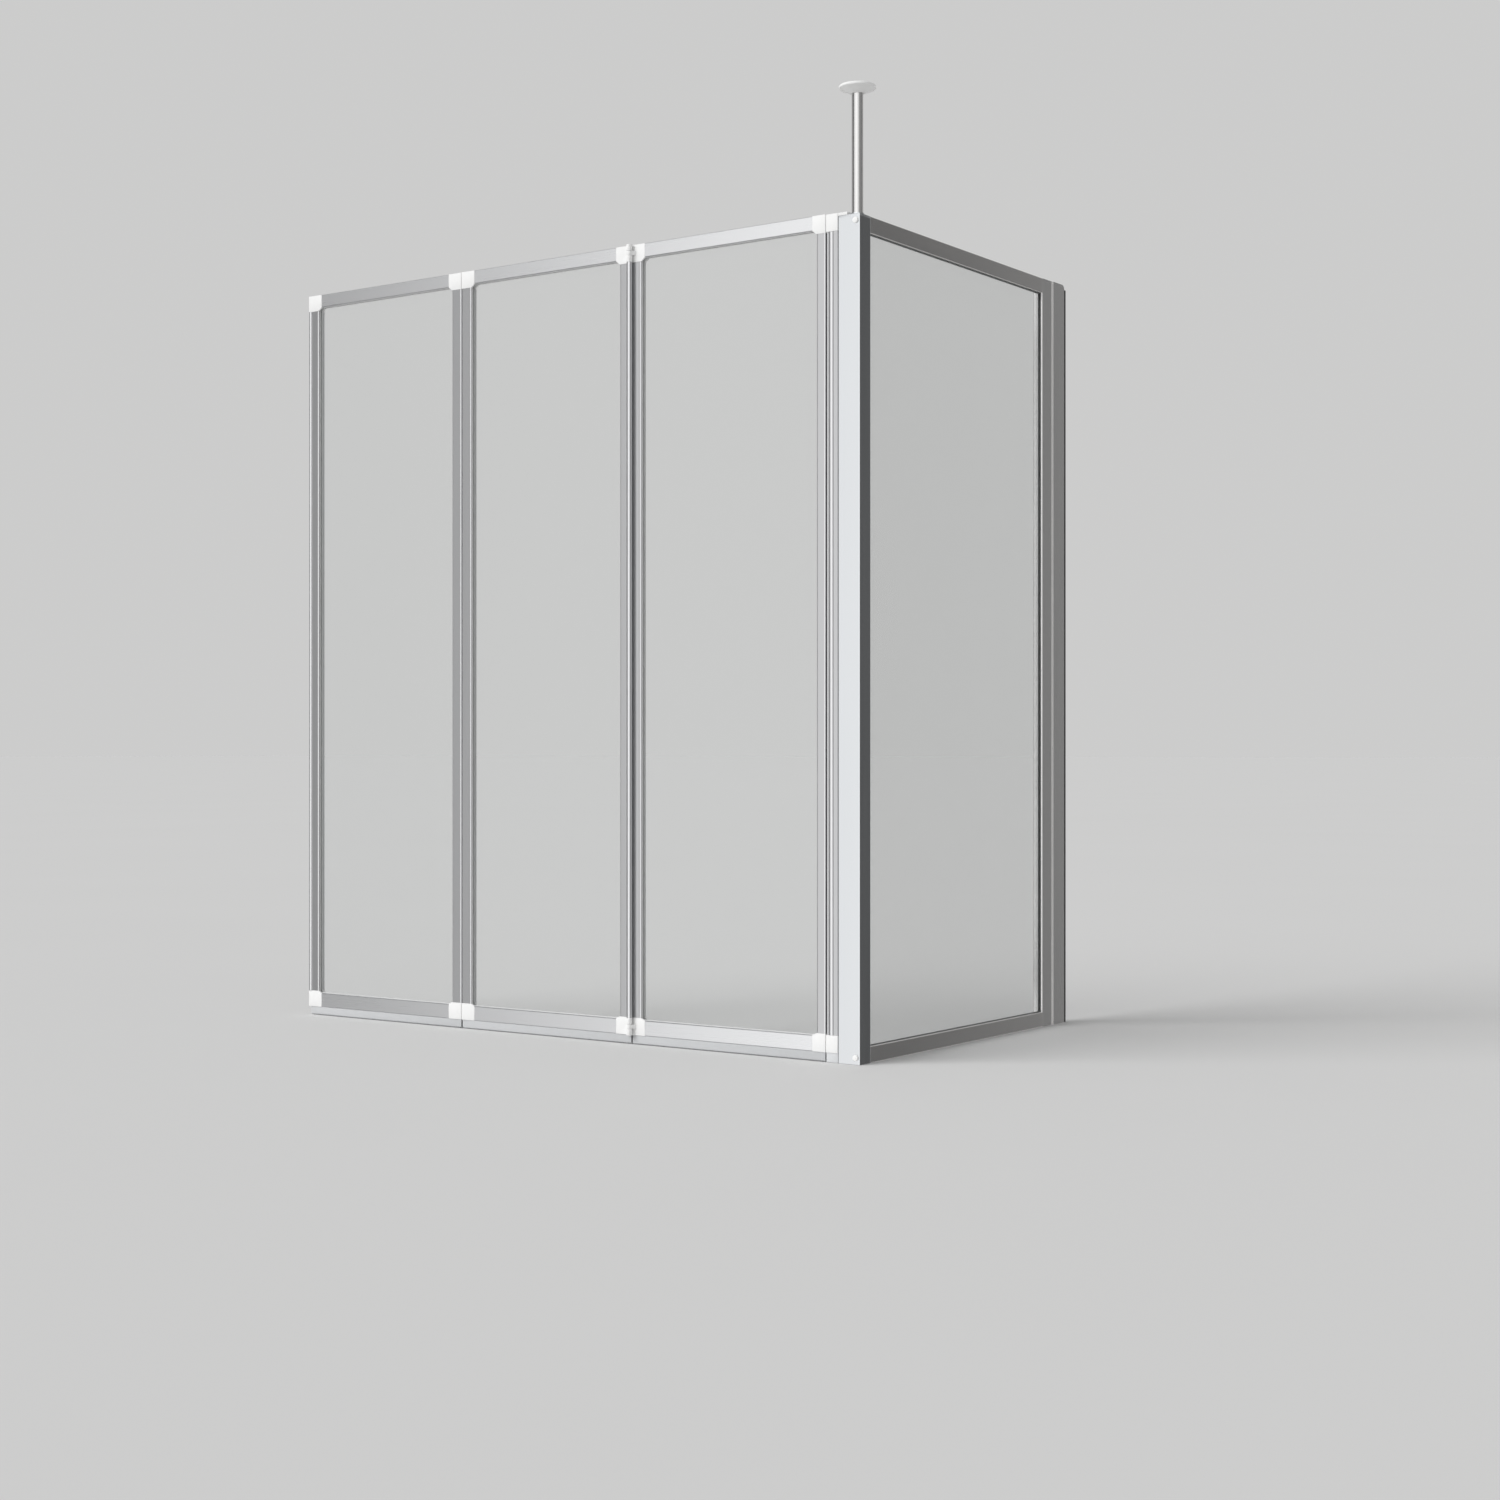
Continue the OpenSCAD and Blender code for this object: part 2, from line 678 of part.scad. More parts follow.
post_head_r = 3.8;  // radius of a post screw's head
post_head_h = 2;    // height of a post screw's head
cover_t = 0.7;      // thickness of a screw cover's face
cover_fit = 0.1;    // clearance between a cover and the head inside it
cover_edge = 1;     // bevel around a cover's face
port_grip = 25;     // how far a post screw reaches into a side rail

module post_screws() {
  color(steel) {
    at_post_screws(-post_d / 2 - post_head_h) cylinder(r = post_head_r, h = post_head_h, $fn = 32);
    at_post_screws(-post_d / 2) cylinder(r = post_screw_r, h = post_d + port_grip, $fn = 24);
  }
}

module post_screw_covers() {
  bevel = min(cover_edge, screw_cover_r - post_head_r - cover_fit);
  high = post_head_h + cover_fit + cover_t;
  color(white_plastic) at_post_screws(-post_d / 2) mirror([0, 0, 1])
    rotate_extrude($fn = fine) difference() {
      polygon([[0, 0], [screw_cover_r, 0], [screw_cover_r, high - bevel],
        [screw_cover_r - bevel, high], [0, high]]);
      translate([-eps, -eps])
        square([post_head_r + cover_fit + eps, post_head_h + cover_fit + eps]);
    }
}

// ---------- hinge profile ----------

hinge_cap_top = side_h + tongue_t;
hinge_cap_low = hinge_cap_top - hinge_cap_h;
hinge_foot_top = drip_h + hinge_cap_h;
ridge_gap = 0.6;    // groove between the flat and the ridge
ridge_u = shadow_w + hinge_flat_w + ridge_gap + ridge_r;
box_v = relief + 1; // front of the hinge profile's hollow part
notch_fit = 0.5;    // clearance between the tongue and the boss on the post's cap

// u runs from the post's left face to the near leaf, v from front to back
module hinge_profile_2d() {
  difference() {
    union() {
      translate([shadow_w, box_v]) square([hinge_profile_w - shadow_w, leaf_t - box_v]);
      translate([shadow_w, 0]) square([hinge_flat_w, box_v + wall_t]);
      translate([ridge_u, ridge_r]) circle(ridge_r, $fn = fine);
      translate([ridge_u - ridge_r / 2, ridge_r]) square([ridge_r, box_v + wall_t - ridge_r]);
      translate([ridge_u, flank_v]) square([hinge_profile_w - ridge_u, box_v + wall_t - flank_v]);
      translate([0, relief]) square([shadow_w + wall_t, leaf_t - 2 * relief]);
    }
    translate([shadow_w + wall_t, box_v + wall_t])
      square([hinge_profile_w - shadow_w - 2 * wall_t, leaf_t - box_v - 2 * wall_t]);
  }
}

module hinge_profile() {
  color(aluminium) translate([post_left_x, front_y, hinge_foot_top]) mirror([1, 0, 0])
    linear_extrude(hinge_cap_low - hinge_foot_top) hinge_profile_2d();
}

// Block of a hinge profile's end cap, drawn like the profile
module hinge_cap_2d() {
  translate([shadow_w, -corner_proud])
    square([hinge_profile_w - shadow_w, leaf_t + 2 * corner_proud]);
  translate([0, relief]) square([shadow_w + wall_t, leaf_t - 2 * relief]);
}

module hinge_plug_2d() {
  inset = wall_t + plug_fit;
  translate([shadow_w + inset, box_v + inset])
    square([hinge_profile_w - shadow_w - 2 * inset, leaf_t - box_v - 2 * inset]);
}

module at_hinge_profile(z) {
  translate([post_left_x, front_y, z]) mirror([1, 0, 0]) children();
}

module hinge_top_cap() {
  color(white_plastic) {
    difference() {
      union() {
        at_hinge_profile(hinge_cap_low) linear_extrude(hinge_cap_h) hinge_cap_2d();
        at_hinge_profile(hinge_cap_low - spigot) linear_extrude(spigot + eps) hinge_plug_2d();
        translate([post_left_x - shadow_w - wall_t, front_y, side_h])
          cube([tongue_l + shadow_w + wall_t, post_d, tongue_t]);
      }
      translate([strut_x, strut_y, side_h - eps])
        cylinder(r = boss_r + notch_fit, h = tongue_t + 2 * eps, $fn = fine);
    }
    at_leaf(near_x) hinge_lug(1, stile_top, top_corner_h);
  }
}

module hinge_bottom_cap() {
  color(white_plastic) {
    at_hinge_profile(frame_low) linear_extrude(hinge_cap_h) hinge_cap_2d();
    at_hinge_profile(hinge_foot_top - eps) linear_extrude(spigot + eps) hinge_plug_2d();
    at_leaf(near_x) hinge_lug(1, frame_low, bottom_corner_h);
  }
}

// Seal block between the hinge profile's bottom cap and the rim
module hinge_foot_seal() {
  color(grey_plastic) at_hinge_profile(0) {
    translate([shadow_w, drip_in, 0])
      cube([hinge_profile_w - shadow_w, leaf_t - 2 * drip_in, drip_h]);
    translate([0, relief, 0]) cube([shadow_w + wall_t, leaf_t - 2 * relief, drip_h]);
  }
}

// ---------- side panel, drawn like a leaf and turned to run towards the wall ----------

side_in = side_reach - wall_profile_w - side_stile_w;
side_stile_out = side_reach - wall_profile_w + stile_tongue;
side_stile_full = side_stile_out - side_in;
port_r = 3.9;       // outer radius of the screw port in a side rail

module at_side() {
  translate([post_w / 2, post_d / 2, 0]) rotate([0, 0, 90]) children();
}

// The screw port stands at the height of the post's screws, on a web from the outer wall
module side_rail_2d() {
  difference() {
    union() {
      profile_2d(side_rail_h);
      translate([post_screw_z, post_screw_in]) circle(port_r, $fn = 32);
      translate([post_screw_z - wall_t / 2, wall_t / 2]) square([wall_t, post_screw_in - wall_t / 2]);
    }
    translate([post_screw_z, post_screw_in]) circle(post_screw_r + bore_fit, $fn = 32);
  }
}

// The part behind the lips reaches on to the body of the stile
module side_rail() {
  linear_extrude(side_in) side_rail_2d();
  linear_extrude(side_in + groove - plug_fit) intersection() {
    side_rail_2d();
    translate([-eps, lips_d + plug_fit]) square([side_rail_h + 2 * eps, leaf_t]);
  }
}

module side_top_rail() {
  color(aluminium) at_side() translate([0, 0, side_h]) rotate([0, 90, 0]) side_rail();
}

module side_bottom_rail() {
  color(aluminium) at_side() mirror([0, 0, 1]) rotate([0, 90, 0]) side_rail();
}

lock_z = [for (i = [-1, 0, 1]) side_h / 2 + i * lock_pitch];
lock_x = side_reach - wall_profile_w + stile_tongue / 2;
lock_r = 1.9;       // radius of a locking screw
lock_l = 8;         // length of a locking screw under its head
lock_head_r = 3.8;  // radius of a locking screw's head
lock_head_h = 2.2;  // height of a locking screw's head

module side_stile() {
  color(aluminium) at_side() difference() {
    translate([side_stile_out, 0, 0]) mirror([1, 0, 0])
      linear_extrude(side_h) profile_2d(side_stile_full);
    for (z = lock_z) translate([lock_x, leaf_t + eps, z]) rotate([90, 0, 0])
      cylinder(r = lock_r + bore_fit, h = wall_t + 2 * eps, $fn = 24);
  }
}

module side_pane() {
  into = groove - pane_edge_gap;
  color(clear_glass) at_side() translate([-into, pane_v, side_rail_h - into])
    cube([side_in + 2 * into, pane_t, side_h - 2 * side_rail_h + 2 * into]);
}

module side_gasket() {
  color(grey_plastic) at_side()
    gasket_strips(0, side_in, side_rail_h, side_h - side_rail_h, gasket_lip);
}

wall_low_v = -wall_profile_t - plug_fit;
wall_full_v = leaf_t + 2 * (wall_profile_t + plug_fit);
wall_hole_z = [for (pitch = [wall_hole_outer, wall_hole_inner], side = [-1, 1])
  (side_h + side * pitch) / 2];
wall_seal_in = 0.6; // a seal strip lies this far inside the profile's edge

// Channel on the wall that takes the side panel's stile
module wall_profile() {
  color(aluminium) at_side() difference() {
    translate([side_reach - wall_profile_w, wall_low_v, 0])
      cube([wall_profile_w, wall_full_v, side_h]);
    translate([side_reach - wall_profile_w - eps, -plug_fit, -eps])
      cube([wall_profile_w - wall_profile_t + eps, leaf_t + 2 * plug_fit, side_h + 2 * eps]);
    translate([side_reach - wall_corner_r, wall_low_v - eps, side_h - wall_corner_r])
      difference() {
        cube([wall_corner_r + eps, wall_full_v + 2 * eps, wall_corner_r + eps]);
        rotate([-90, 0, 0]) cylinder(r = wall_corner_r, h = wall_full_v + 2 * eps, $fn = fine);
      }
    for (z = wall_hole_z) translate([side_reach + eps, leaf_t / 2, z])
      rotate([0, -90, 0]) cylinder(r = wall_hole_r, h = wall_profile_t + 2 * eps, $fn = 32);
    for (z = lock_z) translate([lock_x, leaf_t + wall_profile_t + plug_fit + eps, z])
      rotate([90, 0, 0])
        cylinder(r = lock_r + bore_fit, h = wall_profile_t + plug_fit + 2 * eps, $fn = 24);
  }
}

module wall_seal() {
  color(black_rubber) at_side()
    for (v = [wall_low_v + wall_seal_in, wall_low_v + wall_full_v - wall_seal_in - wall_seal_w])
      translate([side_reach, v, 0]) cube([wall_seal_t, wall_seal_w, side_h - wall_seal_drop]);
}

module lock_screws() {
  head_y = leaf_t + plug_fit + wall_profile_t;
  color(steel) at_side() for (z = lock_z) translate([lock_x, head_y, z]) {
    rotate([-90, 0, 0]) cylinder(r = lock_head_r, h = lock_head_h, $fn = 32);
    rotate([90, 0, 0]) cylinder(r = lock_r, h = lock_l, $fn = 24);
  }
}

// ---------- strut ----------

base_t = 3;         // thickness of the ceiling base
base_edge = 5;      // the base reaches this far past its screws
strut_high = ceiling_z - base_t - 0.2;
grub_z = [strut_low + strut_grip / 2, strut_high - ceiling_grip / 2 - 6];
grub_l = 5.2;       // length of a grub screw
grub_key = 2;       // depth of the key socket in a grub screw
cover_skin = 1.4;   // wall thickness of the ceiling cover
cover_hole = 0.3;   // clearance of the ceiling cover around the strut

// Hole for a grub screw, from the strut's axis to its back
module grub_hole(z) {
  translate([0, 0, z]) rotate([-90, 0, 0])
    cylinder(r = grub_r + bore_fit, h = strut_d, $fn = 24);
}

module at_strut() {
  translate([strut_x, strut_y, 0]) children();
}

module strut_tube() {
  color(aluminium) at_strut() difference() {
    translate([0, 0, strut_low]) cylinder(r = strut_d / 2, h = strut_high - strut_low, $fn = fine);
    translate([0, 0, strut_low - eps])
      cylinder(r = strut_d / 2 - strut_wall, h = strut_high - strut_low + 2 * eps, $fn = fine);
    for (z = grub_z) grub_hole(z);
  }
}

module strut_grub_screws() {
  color(steel) at_strut() for (z = grub_z) translate([0, strut_d / 2 - grub_l, z])
    rotate([-90, 0, 0]) difference() {
      cylinder(r = grub_r, h = grub_l, $fn = 24);
      translate([0, 0, grub_l - grub_key]) cylinder(r = grub_r / 2, h = grub_key + eps, $fn = 6);
    }
}

// Plate on the ceiling, with the spigot that steadies the strut
module ceiling_base() {
  color(aluminium) at_strut() difference() {
    union() {
      translate([0, 0, ceiling_z - base_t])
        cylinder(r = ceiling_circle_r + base_edge, h = base_t, $fn = fine);
      translate([0, 0, strut_high - ceiling_grip])
        cylinder(r = spigot_r, h = ceiling_grip + eps, $fn = fine);
    }
    for (a = [90, 210, 330]) rotate([0, 0, a])
      translate([ceiling_circle_r, 0, ceiling_z - base_t - eps])
        cylinder(r = ceiling_hole_r, h = base_t + 2 * eps, $fn = 24);
    grub_hole(grub_z[1]);
  }
}

// Hollow cover that hides the ceiling base
module ceiling_cover() {
  hole = strut_d / 2 + cover_hole;
  low = ceiling_z - cover_h;
  inner_low = low + cover_skin * 1.4;
  shoulder = ceiling_z - cover_rim;
  color(white_plastic) at_strut() rotate_extrude($fn = 96)
    polygon([[hole, low], [cover_neck_r, low], [cover_r, shoulder], [cover_r, ceiling_z],
      [cover_r - cover_skin, ceiling_z], [cover_r - cover_skin, shoulder + cover_skin / 2],
      [cover_neck_r, inner_low], [hole, inner_low]]);
}

// ---------- nodes ----------

corner_post();
post_cap();
post_foot();
post_screws();
post_screw_covers();
hinge_profile();
hinge_top_cap();
hinge_bottom_cap();
hinge_foot_seal();
side_pane();
side_top_rail();
side_bottom_rail();
side_stile();
side_gasket();
wall_profile();
wall_seal();
lock_screws();
strut_tube();
strut_grub_screws();
ceiling_base();
ceiling_cover();

at_leaf(near_x) pane(near_leaf);  // near_pane
at_leaf(near_x) right_stile(near_leaf);  // near_right_stile
at_leaf(near_x) left_stile(near_leaf, false);  // near_left_stile
at_leaf(near_x) top_rail(near_leaf);  // near_top_rail
at_leaf(near_x) bottom_rail(near_leaf);  // near_bottom_rail
at_leaf(near_x) gasket(near_leaf);  // near_gasket
at_leaf(near_x) top_right_corner(near_leaf);  // near_top_right_corner
at_leaf(near_x) top_left_corner(near_leaf, -1);  // near_top_left_corner
at_leaf(near_x) bottom_right_corner(near_leaf);  // near_bottom_right_corner
at_leaf(near_x) bottom_left_corner(near_leaf, -1);  // near_bottom_left_corner
at_leaf(near_x) drip_strip(near_leaf, drip_end);  // near_drip_strip
at_leaf(near_x) frame_screws(near_leaf);  // near_screws
at_leaf(near_x) hinge_pins(1);  // post_hinge_pins

at_leaf(middle_x) pane(middle_leaf);  // middle_pane
at_leaf(middle_x) right_stile(middle_leaf);  // middle_right_stile
at_leaf(middle_x) left_stile(middle_leaf, false);  // middle_left_stile
at_leaf(middle_x) top_rail(middle_leaf);  // middle_top_rail
at_leaf(middle_x) bottom_rail(middle_leaf);  // middle_bottom_rail
at_leaf(middle_x) gasket(middle_leaf);  // middle_gasket
at_leaf(middle_x) top_right_corner(middle_leaf);  // middle_top_right_corner
at_leaf(middle_x) top_left_corner(middle_leaf, 1);  // middle_top_left_corner
at_leaf(middle_x) bottom_right_corner(middle_leaf);  // middle_bottom_right_corner
at_leaf(middle_x) bottom_left_corner(middle_leaf, 1);  // middle_bottom_left_corner
at_leaf(middle_x) drip_strip(middle_leaf, drip_end);  // middle_drip_strip
at_leaf(middle_x) frame_screws(middle_leaf);  // middle_screws
at_leaf(middle_x) hinge_pins(-1);  // middle_hinge_pins

at_leaf(end_x) pane(end_leaf);  // end_pane
at_leaf(end_x) right_stile(end_leaf);  // end_right_stile
at_leaf(end_x) left_stile(end_leaf, true);  // end_left_stile
at_leaf(end_x) top_rail(end_leaf);  // end_top_rail
at_leaf(end_x) bottom_rail(end_leaf);  // end_bottom_rail
at_leaf(end_x) gasket(end_leaf);  // end_gasket
at_leaf(end_x) top_right_corner(end_leaf);  // end_top_right_corner
at_leaf(end_x) top_left_corner(end_leaf, 0);  // end_top_left_corner
at_leaf(end_x) bottom_right_corner(end_leaf);  // end_bottom_right_corner
at_leaf(end_x) bottom_left_corner(end_leaf, 0);  // end_bottom_left_corner
at_leaf(end_x) drip_strip(end_leaf, free_end);  // end_drip_strip
at_leaf(end_x) frame_screws(end_leaf);  // end_screws
at_leaf(end_x) hinge_pins(1);  // end_hinge_pins
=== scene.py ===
import math

import bmesh
import bpy
from mathutils import Matrix, Vector


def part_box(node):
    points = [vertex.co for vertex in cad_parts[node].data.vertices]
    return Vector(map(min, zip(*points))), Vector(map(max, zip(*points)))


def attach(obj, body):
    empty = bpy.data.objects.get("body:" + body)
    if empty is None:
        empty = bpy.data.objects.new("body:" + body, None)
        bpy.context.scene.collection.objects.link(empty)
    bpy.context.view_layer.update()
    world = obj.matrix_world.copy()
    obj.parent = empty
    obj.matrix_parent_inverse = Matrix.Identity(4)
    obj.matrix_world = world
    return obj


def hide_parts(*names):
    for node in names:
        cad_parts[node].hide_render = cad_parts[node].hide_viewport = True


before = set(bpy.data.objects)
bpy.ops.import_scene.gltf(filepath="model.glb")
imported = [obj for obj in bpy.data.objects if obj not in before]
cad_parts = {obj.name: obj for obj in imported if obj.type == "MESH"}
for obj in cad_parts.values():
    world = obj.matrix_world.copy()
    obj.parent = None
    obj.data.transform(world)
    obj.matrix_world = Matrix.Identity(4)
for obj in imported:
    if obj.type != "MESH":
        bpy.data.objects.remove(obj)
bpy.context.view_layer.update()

bl_info = {
    "name": "Folding bath screen",
    "version": (1, 0, 0),
    "blender": (4, 5, 0),
    "location": "3D View > Sidebar > Bath screen",
    "description": "Dresses the packed bath screen: finishes, seals, screws, corner pieces "
                   "and a pale studio",
    "category": "Object",
}

FIXED = "fixed_side"
LEAVES = {"near": "near_leaf", "middle": "middle_leaf", "end": "end_leaf"}
CORNERS = ("top_right", "top_left", "bottom_right", "bottom_left")
MM = 0.001
MICRON = 1e-6

# Meshes, with lengths in metres and angles in degrees
ON_AXIS = 1e-5          # a turned outline's point nearer to the axis than this lies on it
WELD = 2e-6             # points nearer to each other than this are one
FLAT = 0.6              # faces that turn by less than this are joined
BEVEL_FROM = 40.0       # edges that turn by more than this are rounded
BEVEL_STEPS = 2
LIP_STEPS = 4           # faces round a gasket's lip
SHARP_SCREW = 28.0      # edges that turn by more than these are shaded sharp
SHARP_MOULDING = 30.0
SHARP_GASKET = 40.0
SHARP_TURNED = 50.0

# Screws: head height, shank radius and shank length
FRAME_SCREW = (1.6 * MM, 1.45 * MM, 12 * MM)
LOCK_SCREW = (2.2 * MM, 1.9 * MM, 8 * MM)
HEAD_SIDES, SHANK_SIDES = 32, 20
TOP_FROM = 0.4          # a head's points above this share of its height belong to its top
RECESS_REACH = 0.62     # reach of the cross recess as a share of the head's radius

# Round covers
BEND = (0.4, 0.8, 1.2)  # angles of the points round a bend, in radians
SCREW_COVER_STEPS, CEILING_COVER_STEPS = 48, 96
SCREW_COVER_EDGE = 0.11  # a screw cover's rounded edge as a share of its width
CEILING_WALL = 2.5      # wall of the ceiling cover, in walls of a screw cover
NECK = 0.39             # neck of the ceiling cover as a share of its radius
STRUT_GAP = 0.1 * MM    # gap between the ceiling cover and the strut


def size(name, text, default, low=0.0, high=1.0):
    """A length that a user may change, in metres."""
    return bpy.props.FloatProperty(name=name, description=text, default=default, min=low,
                                   max=high, unit="LENGTH", precision=5)


def tint(name, text, default):
    """A colour that a user may change, in linear RGB."""
    return bpy.props.FloatVectorProperty(name=name, description=text, default=default, size=3,
                                         min=0.0, max=1.0, subtype="COLOR")


class BATHSCREEN_PG_sizes(bpy.types.PropertyGroup):
    """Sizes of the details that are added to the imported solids."""
    softening: size("Edge softening", "Rounding of the moulded corner pieces' edges", 0.45 * MM)
    cover_softening: size("Cap softening", "Rounding of the caps' edges", 0.6 * MM)
    lip_round: size("Gasket lip", "Rounding of the glazing gasket's lip", 0.6 * MM)
    foam_round: size("Foam rounding", "Rounding of the foam strips at the wall", 1.2 * MM)
    recess_width: size("Recess width", "Width of a slot of the cross recess", 0.9 * MM)
    recess_depth: size("Recess depth", "Depth of the cross recess", 0.9 * MM)
    dome: size("Screw dome", "Height of a pan head's dome", 0.7 * MM)
    cover_wall: size("Cover wall", "Wall thickness of a screw cover", 0.6 * MM)
    cover_rim: size("Cover rim", "Rounding of the ceiling cover's rim", 3.6 * MM)
    cover_dome: size("Cover dome", "How far a screw cover's face bulges", 0.5 * MM)
    floor_side: size("Floor side", "Side of the square floor", 300.0, 1.0, 1000.0)


class BATHSCREEN_PG_colours(bpy.types.PropertyGroup):
    """Colours of the finishes."""
    # Stile and rail are one aluminium: the stile colour is darkened and the rail colour lightened
    # as painted shade and painted reflection, for how upright and level profiles catch the light
    stile: tint("Stile", "Satin anodised upright profiles", (0.52, 0.523, 0.53))
    rail: tint("Rail", "Satin anodised level profiles", (0.75, 0.755, 0.765))
    side_rail: tint("Side rails", "Satin anodised rails of the side panel", (0.60, 0.59, 0.58))
    side: tint("Side panel", "Satin anodised stile and wall profile of the side panel",
               (0.58, 0.575, 0.57))
    post: tint("Post", "Satin anodised corner post", (0.61, 0.625, 0.64))
    strut: tint("Strut", "Brighter anodised tube", (0.54, 0.535, 0.53))
    white: tint("White plastic", "Corner pieces, caps and covers", (0.90, 0.90, 0.895))
    grey: tint("Grey plastic", "Foot and drip strips", (0.56, 0.57, 0.58))
    light_seal: tint("Light gasket", "Glazing gaskets of the leaves", (0.80, 0.80, 0.80))
    dark_seal: tint("Dark gasket", "Glazing gasket of the side panel", (0.22, 0.22, 0.22))
    # Near-black seal strips at the wall: a real rubber seal, whose black also stands for the shadow
    # gap between the wall profile and the wall, as painted shade
    black_seal: tint("Black seal", "Seal strips at the wall", (0.018, 0.018, 0.019))
    steel: tint("Steel", "Screws and hinge pins", (0.56, 0.55, 0.53))
    glass: tint("Glass", "Faint tint of the panes", (0.48, 0.51, 0.50))
    floor: tint("Floor", "Plain pale floor", (0.73, 0.73, 0.727))
    background: tint("Background", "Plain background that the camera sees", (0.605, 0.605, 0.602))


def sizes():
    return bpy.context.scene.bath_screen_sizes


def colours():
    return bpy.context.scene.bath_screen_colours


# ---------- node trees ----------


class Value:
    """An output socket. Sums on it add Math nodes to its tree."""

    def __init__(self, tree, socket):
        self.tree = tree
        self.socket = socket

    def _math(self, operation, *values):
        return self.tree.node("ShaderNodeMath", {"operation": operation}, dict(enumerate(values)))

    def __add__(self, other):
        return self._math("ADD", self, other)

    __radd__ = __add__

    def __mul__(self, other):
        return self._math("MULTIPLY", self, other)

    __rmul__ = __mul__

    def __sub__(self, other):
        return self._math("SUBTRACT", self, other)

    def __rsub__(self, other):
        return self._math("SUBTRACT", other, self)

    def __truediv__(self, other):
        return self._math("DIVIDE", self, other)

    def __gt__(self, other):
        return self._math("GREATER_THAN", self, other)

    def __lt__(self, other):
        return self._math("LESS_THAN", self, other)

    def __abs__(self):
        return self._math("ABSOLUTE", self)

    def power(self, other):
        return self._math("POWER", self, other)

    def least(self, other):
        return self._math("MINIMUM", self, other)

    def most(self, other):
        return self._math("MAXIMUM", self, other)


def scaled(colour, factor):
    return tuple(min(1.0, c * factor) for c in colour)


class Tree:
    """Builds nodes in a shader or geometry tree."""

    def __init__(self, tree):
        self.tree = tree

    def node(self, kind, settings=None, sockets=None, output=0):
        """One node: its settings first, then the values or links of its sockets."""
        made = self.tree.nodes.new(kind)
        for name, value in (settings or {}).items():
            if name == "stops":
                self._stops(made.color_ramp, value)
            else:
                setattr(made, name, value)
        for name, value in (sockets or {}).items():
            if isinstance(value, Value):
                self.tree.links.new(value.socket, made.inputs[name])
            else:
                made.inputs[name].default_value = value
        return Value(self, made.outputs[output]) if made.outputs else made

    def _stops(self, ramp, stops):
        while len(ramp.elements) > 1:
            ramp.elements.remove(ramp.elements[-1])
        for i, (place, level) in enumerate(stops):
            stop = ramp.elements[0] if i == 0 else ramp.elements.new(place)
            stop.position = place
            stop.color = (level, level, level, 1.0)

    def out(self, made, output):
        """Another output of a node that was made before."""
        return Value(self, made.socket.node.outputs[output])

    def tones(self, colour, low, high, share):
        """A colour that varies between two brightnesses of itself."""
        made = self.tree.nodes.new("ShaderNodeMix")
        made.data_type = "RGBA"
        ends = [s for s in made.inputs if s.type == "RGBA"]
        for socket, factor in zip(ends, (low, high)):
            socket.default_value = (*scaled(colour, factor), 1.0)
        self.tree.links.new(share.socket, made.inputs[0])
        return Value(self, [s for s in made.outputs if s.type == "RGBA"][0])

    def bump(self, height, strength, depth):
        """A normal that follows a height, with the depth in metres."""
        return self.node("ShaderNodeBump", {}, {"Strength": strength, "Distance": depth,
                                                "Height": height})

    def stretched(self, scale):
        """Object coordinates, stretched along each axis."""
        place = self.node("ShaderNodeTexCoord", output="Object")
        return self.node("ShaderNodeVectorMath", {"operation": "MULTIPLY"}, {0: place, 1: scale})

    def noise(self, scale, stretch=(1.0, 1.0, 1.0), detail=2.0, roughness=0.5):
        return self.node("ShaderNodeTexNoise", {"noise_dimensions": "3D"},
                         {"Vector": self.stretched(stretch), "Scale": scale, "Detail": detail,
                          "Roughness": roughness})


def finish(name, build):
    """A new material; build gets its tree and returns the settings of the Principled shader."""
    material = bpy.data.materials.new(name)
    material.use_nodes = True
    tree = Tree(material.node_tree)
    material.node_tree.nodes.clear()
    shader = tree.node("ShaderNodeBsdfPrincipled", {}, build(tree))
    tree.node("ShaderNodeOutputMaterial", {}, {"Surface": shader})
    return material


# How noise is stretched along a profile: fine lines, and clouds some centimetres long
ALONG = {"x": (4.0, 1400.0, 1400.0), "y": (1400.0, 4.0, 1400.0), "z": (1400.0, 1400.0, 4.0)}
CLOUD = {"x": (3.0, 30.0, 30.0), "y": (30.0, 3.0, 30.0), "z": (30.0, 30.0, 3.0)}
# What lines and clouds add to the variation of a profile's tone
LINE_SHARE, CLOUD_SHARE = 0.55, 0.45


def extruded_aluminium(name, colour, direction, metal, satin):
    """Satin anodised aluminium with the fine die lines of an extrusion along one direction."""
    def build(tree):
        lines = tree.noise(1.0, ALONG[direction], detail=3.0, roughness=0.6)
        cloud = tree.noise(1.0, CLOUD[direction])
        tone = lines * LINE_SHARE + cloud * CLOUD_SHARE
        return {
            "Base Color": tree.tones(colour, 0.96, 1.04, tone),
            "Metallic": metal,
            "Roughness": satin + tone * 0.06,
            "Specular IOR Level": 0.5,
            "Normal": tree.bump(lines, 0.05, 6 * MICRON),
        }
    return finish(name, build)


def strut_tube_metal():
    """Bright satin tube with faint drawing lines."""
    def build(tree):
        lines = tree.noise(1.0, ALONG["z"], detail=3.0, roughness=0.6)
        return {
            "Base Color": tree.tones(colours().strut, 0.94, 1.06, lines),
            "Metallic": 1.0,
            "Roughness": 0.24 + lines * 0.06,
            "Normal": tree.bump(lines, 0.02, 4 * MICRON),
        }
    return finish("Bright anodised tube", build)


def moulded_plastic(name, colour, gloss):
    """Injection-moulded plastic: fine spark-eroded texture and faint cloudiness."""
    def build(tree):
        fine = tree.noise(2600.0)
        cloud = tree.noise(38.0, detail=3.0)
        return {
            "Base Color": tree.tones(colour, 0.965, 1.02, cloud),
            "Roughness": gloss + cloud * 0.10,
            "Specular IOR Level": 0.45,
            "Normal": tree.bump(fine, 0.12, 30 * MICRON),
        }
    return finish(name, build)


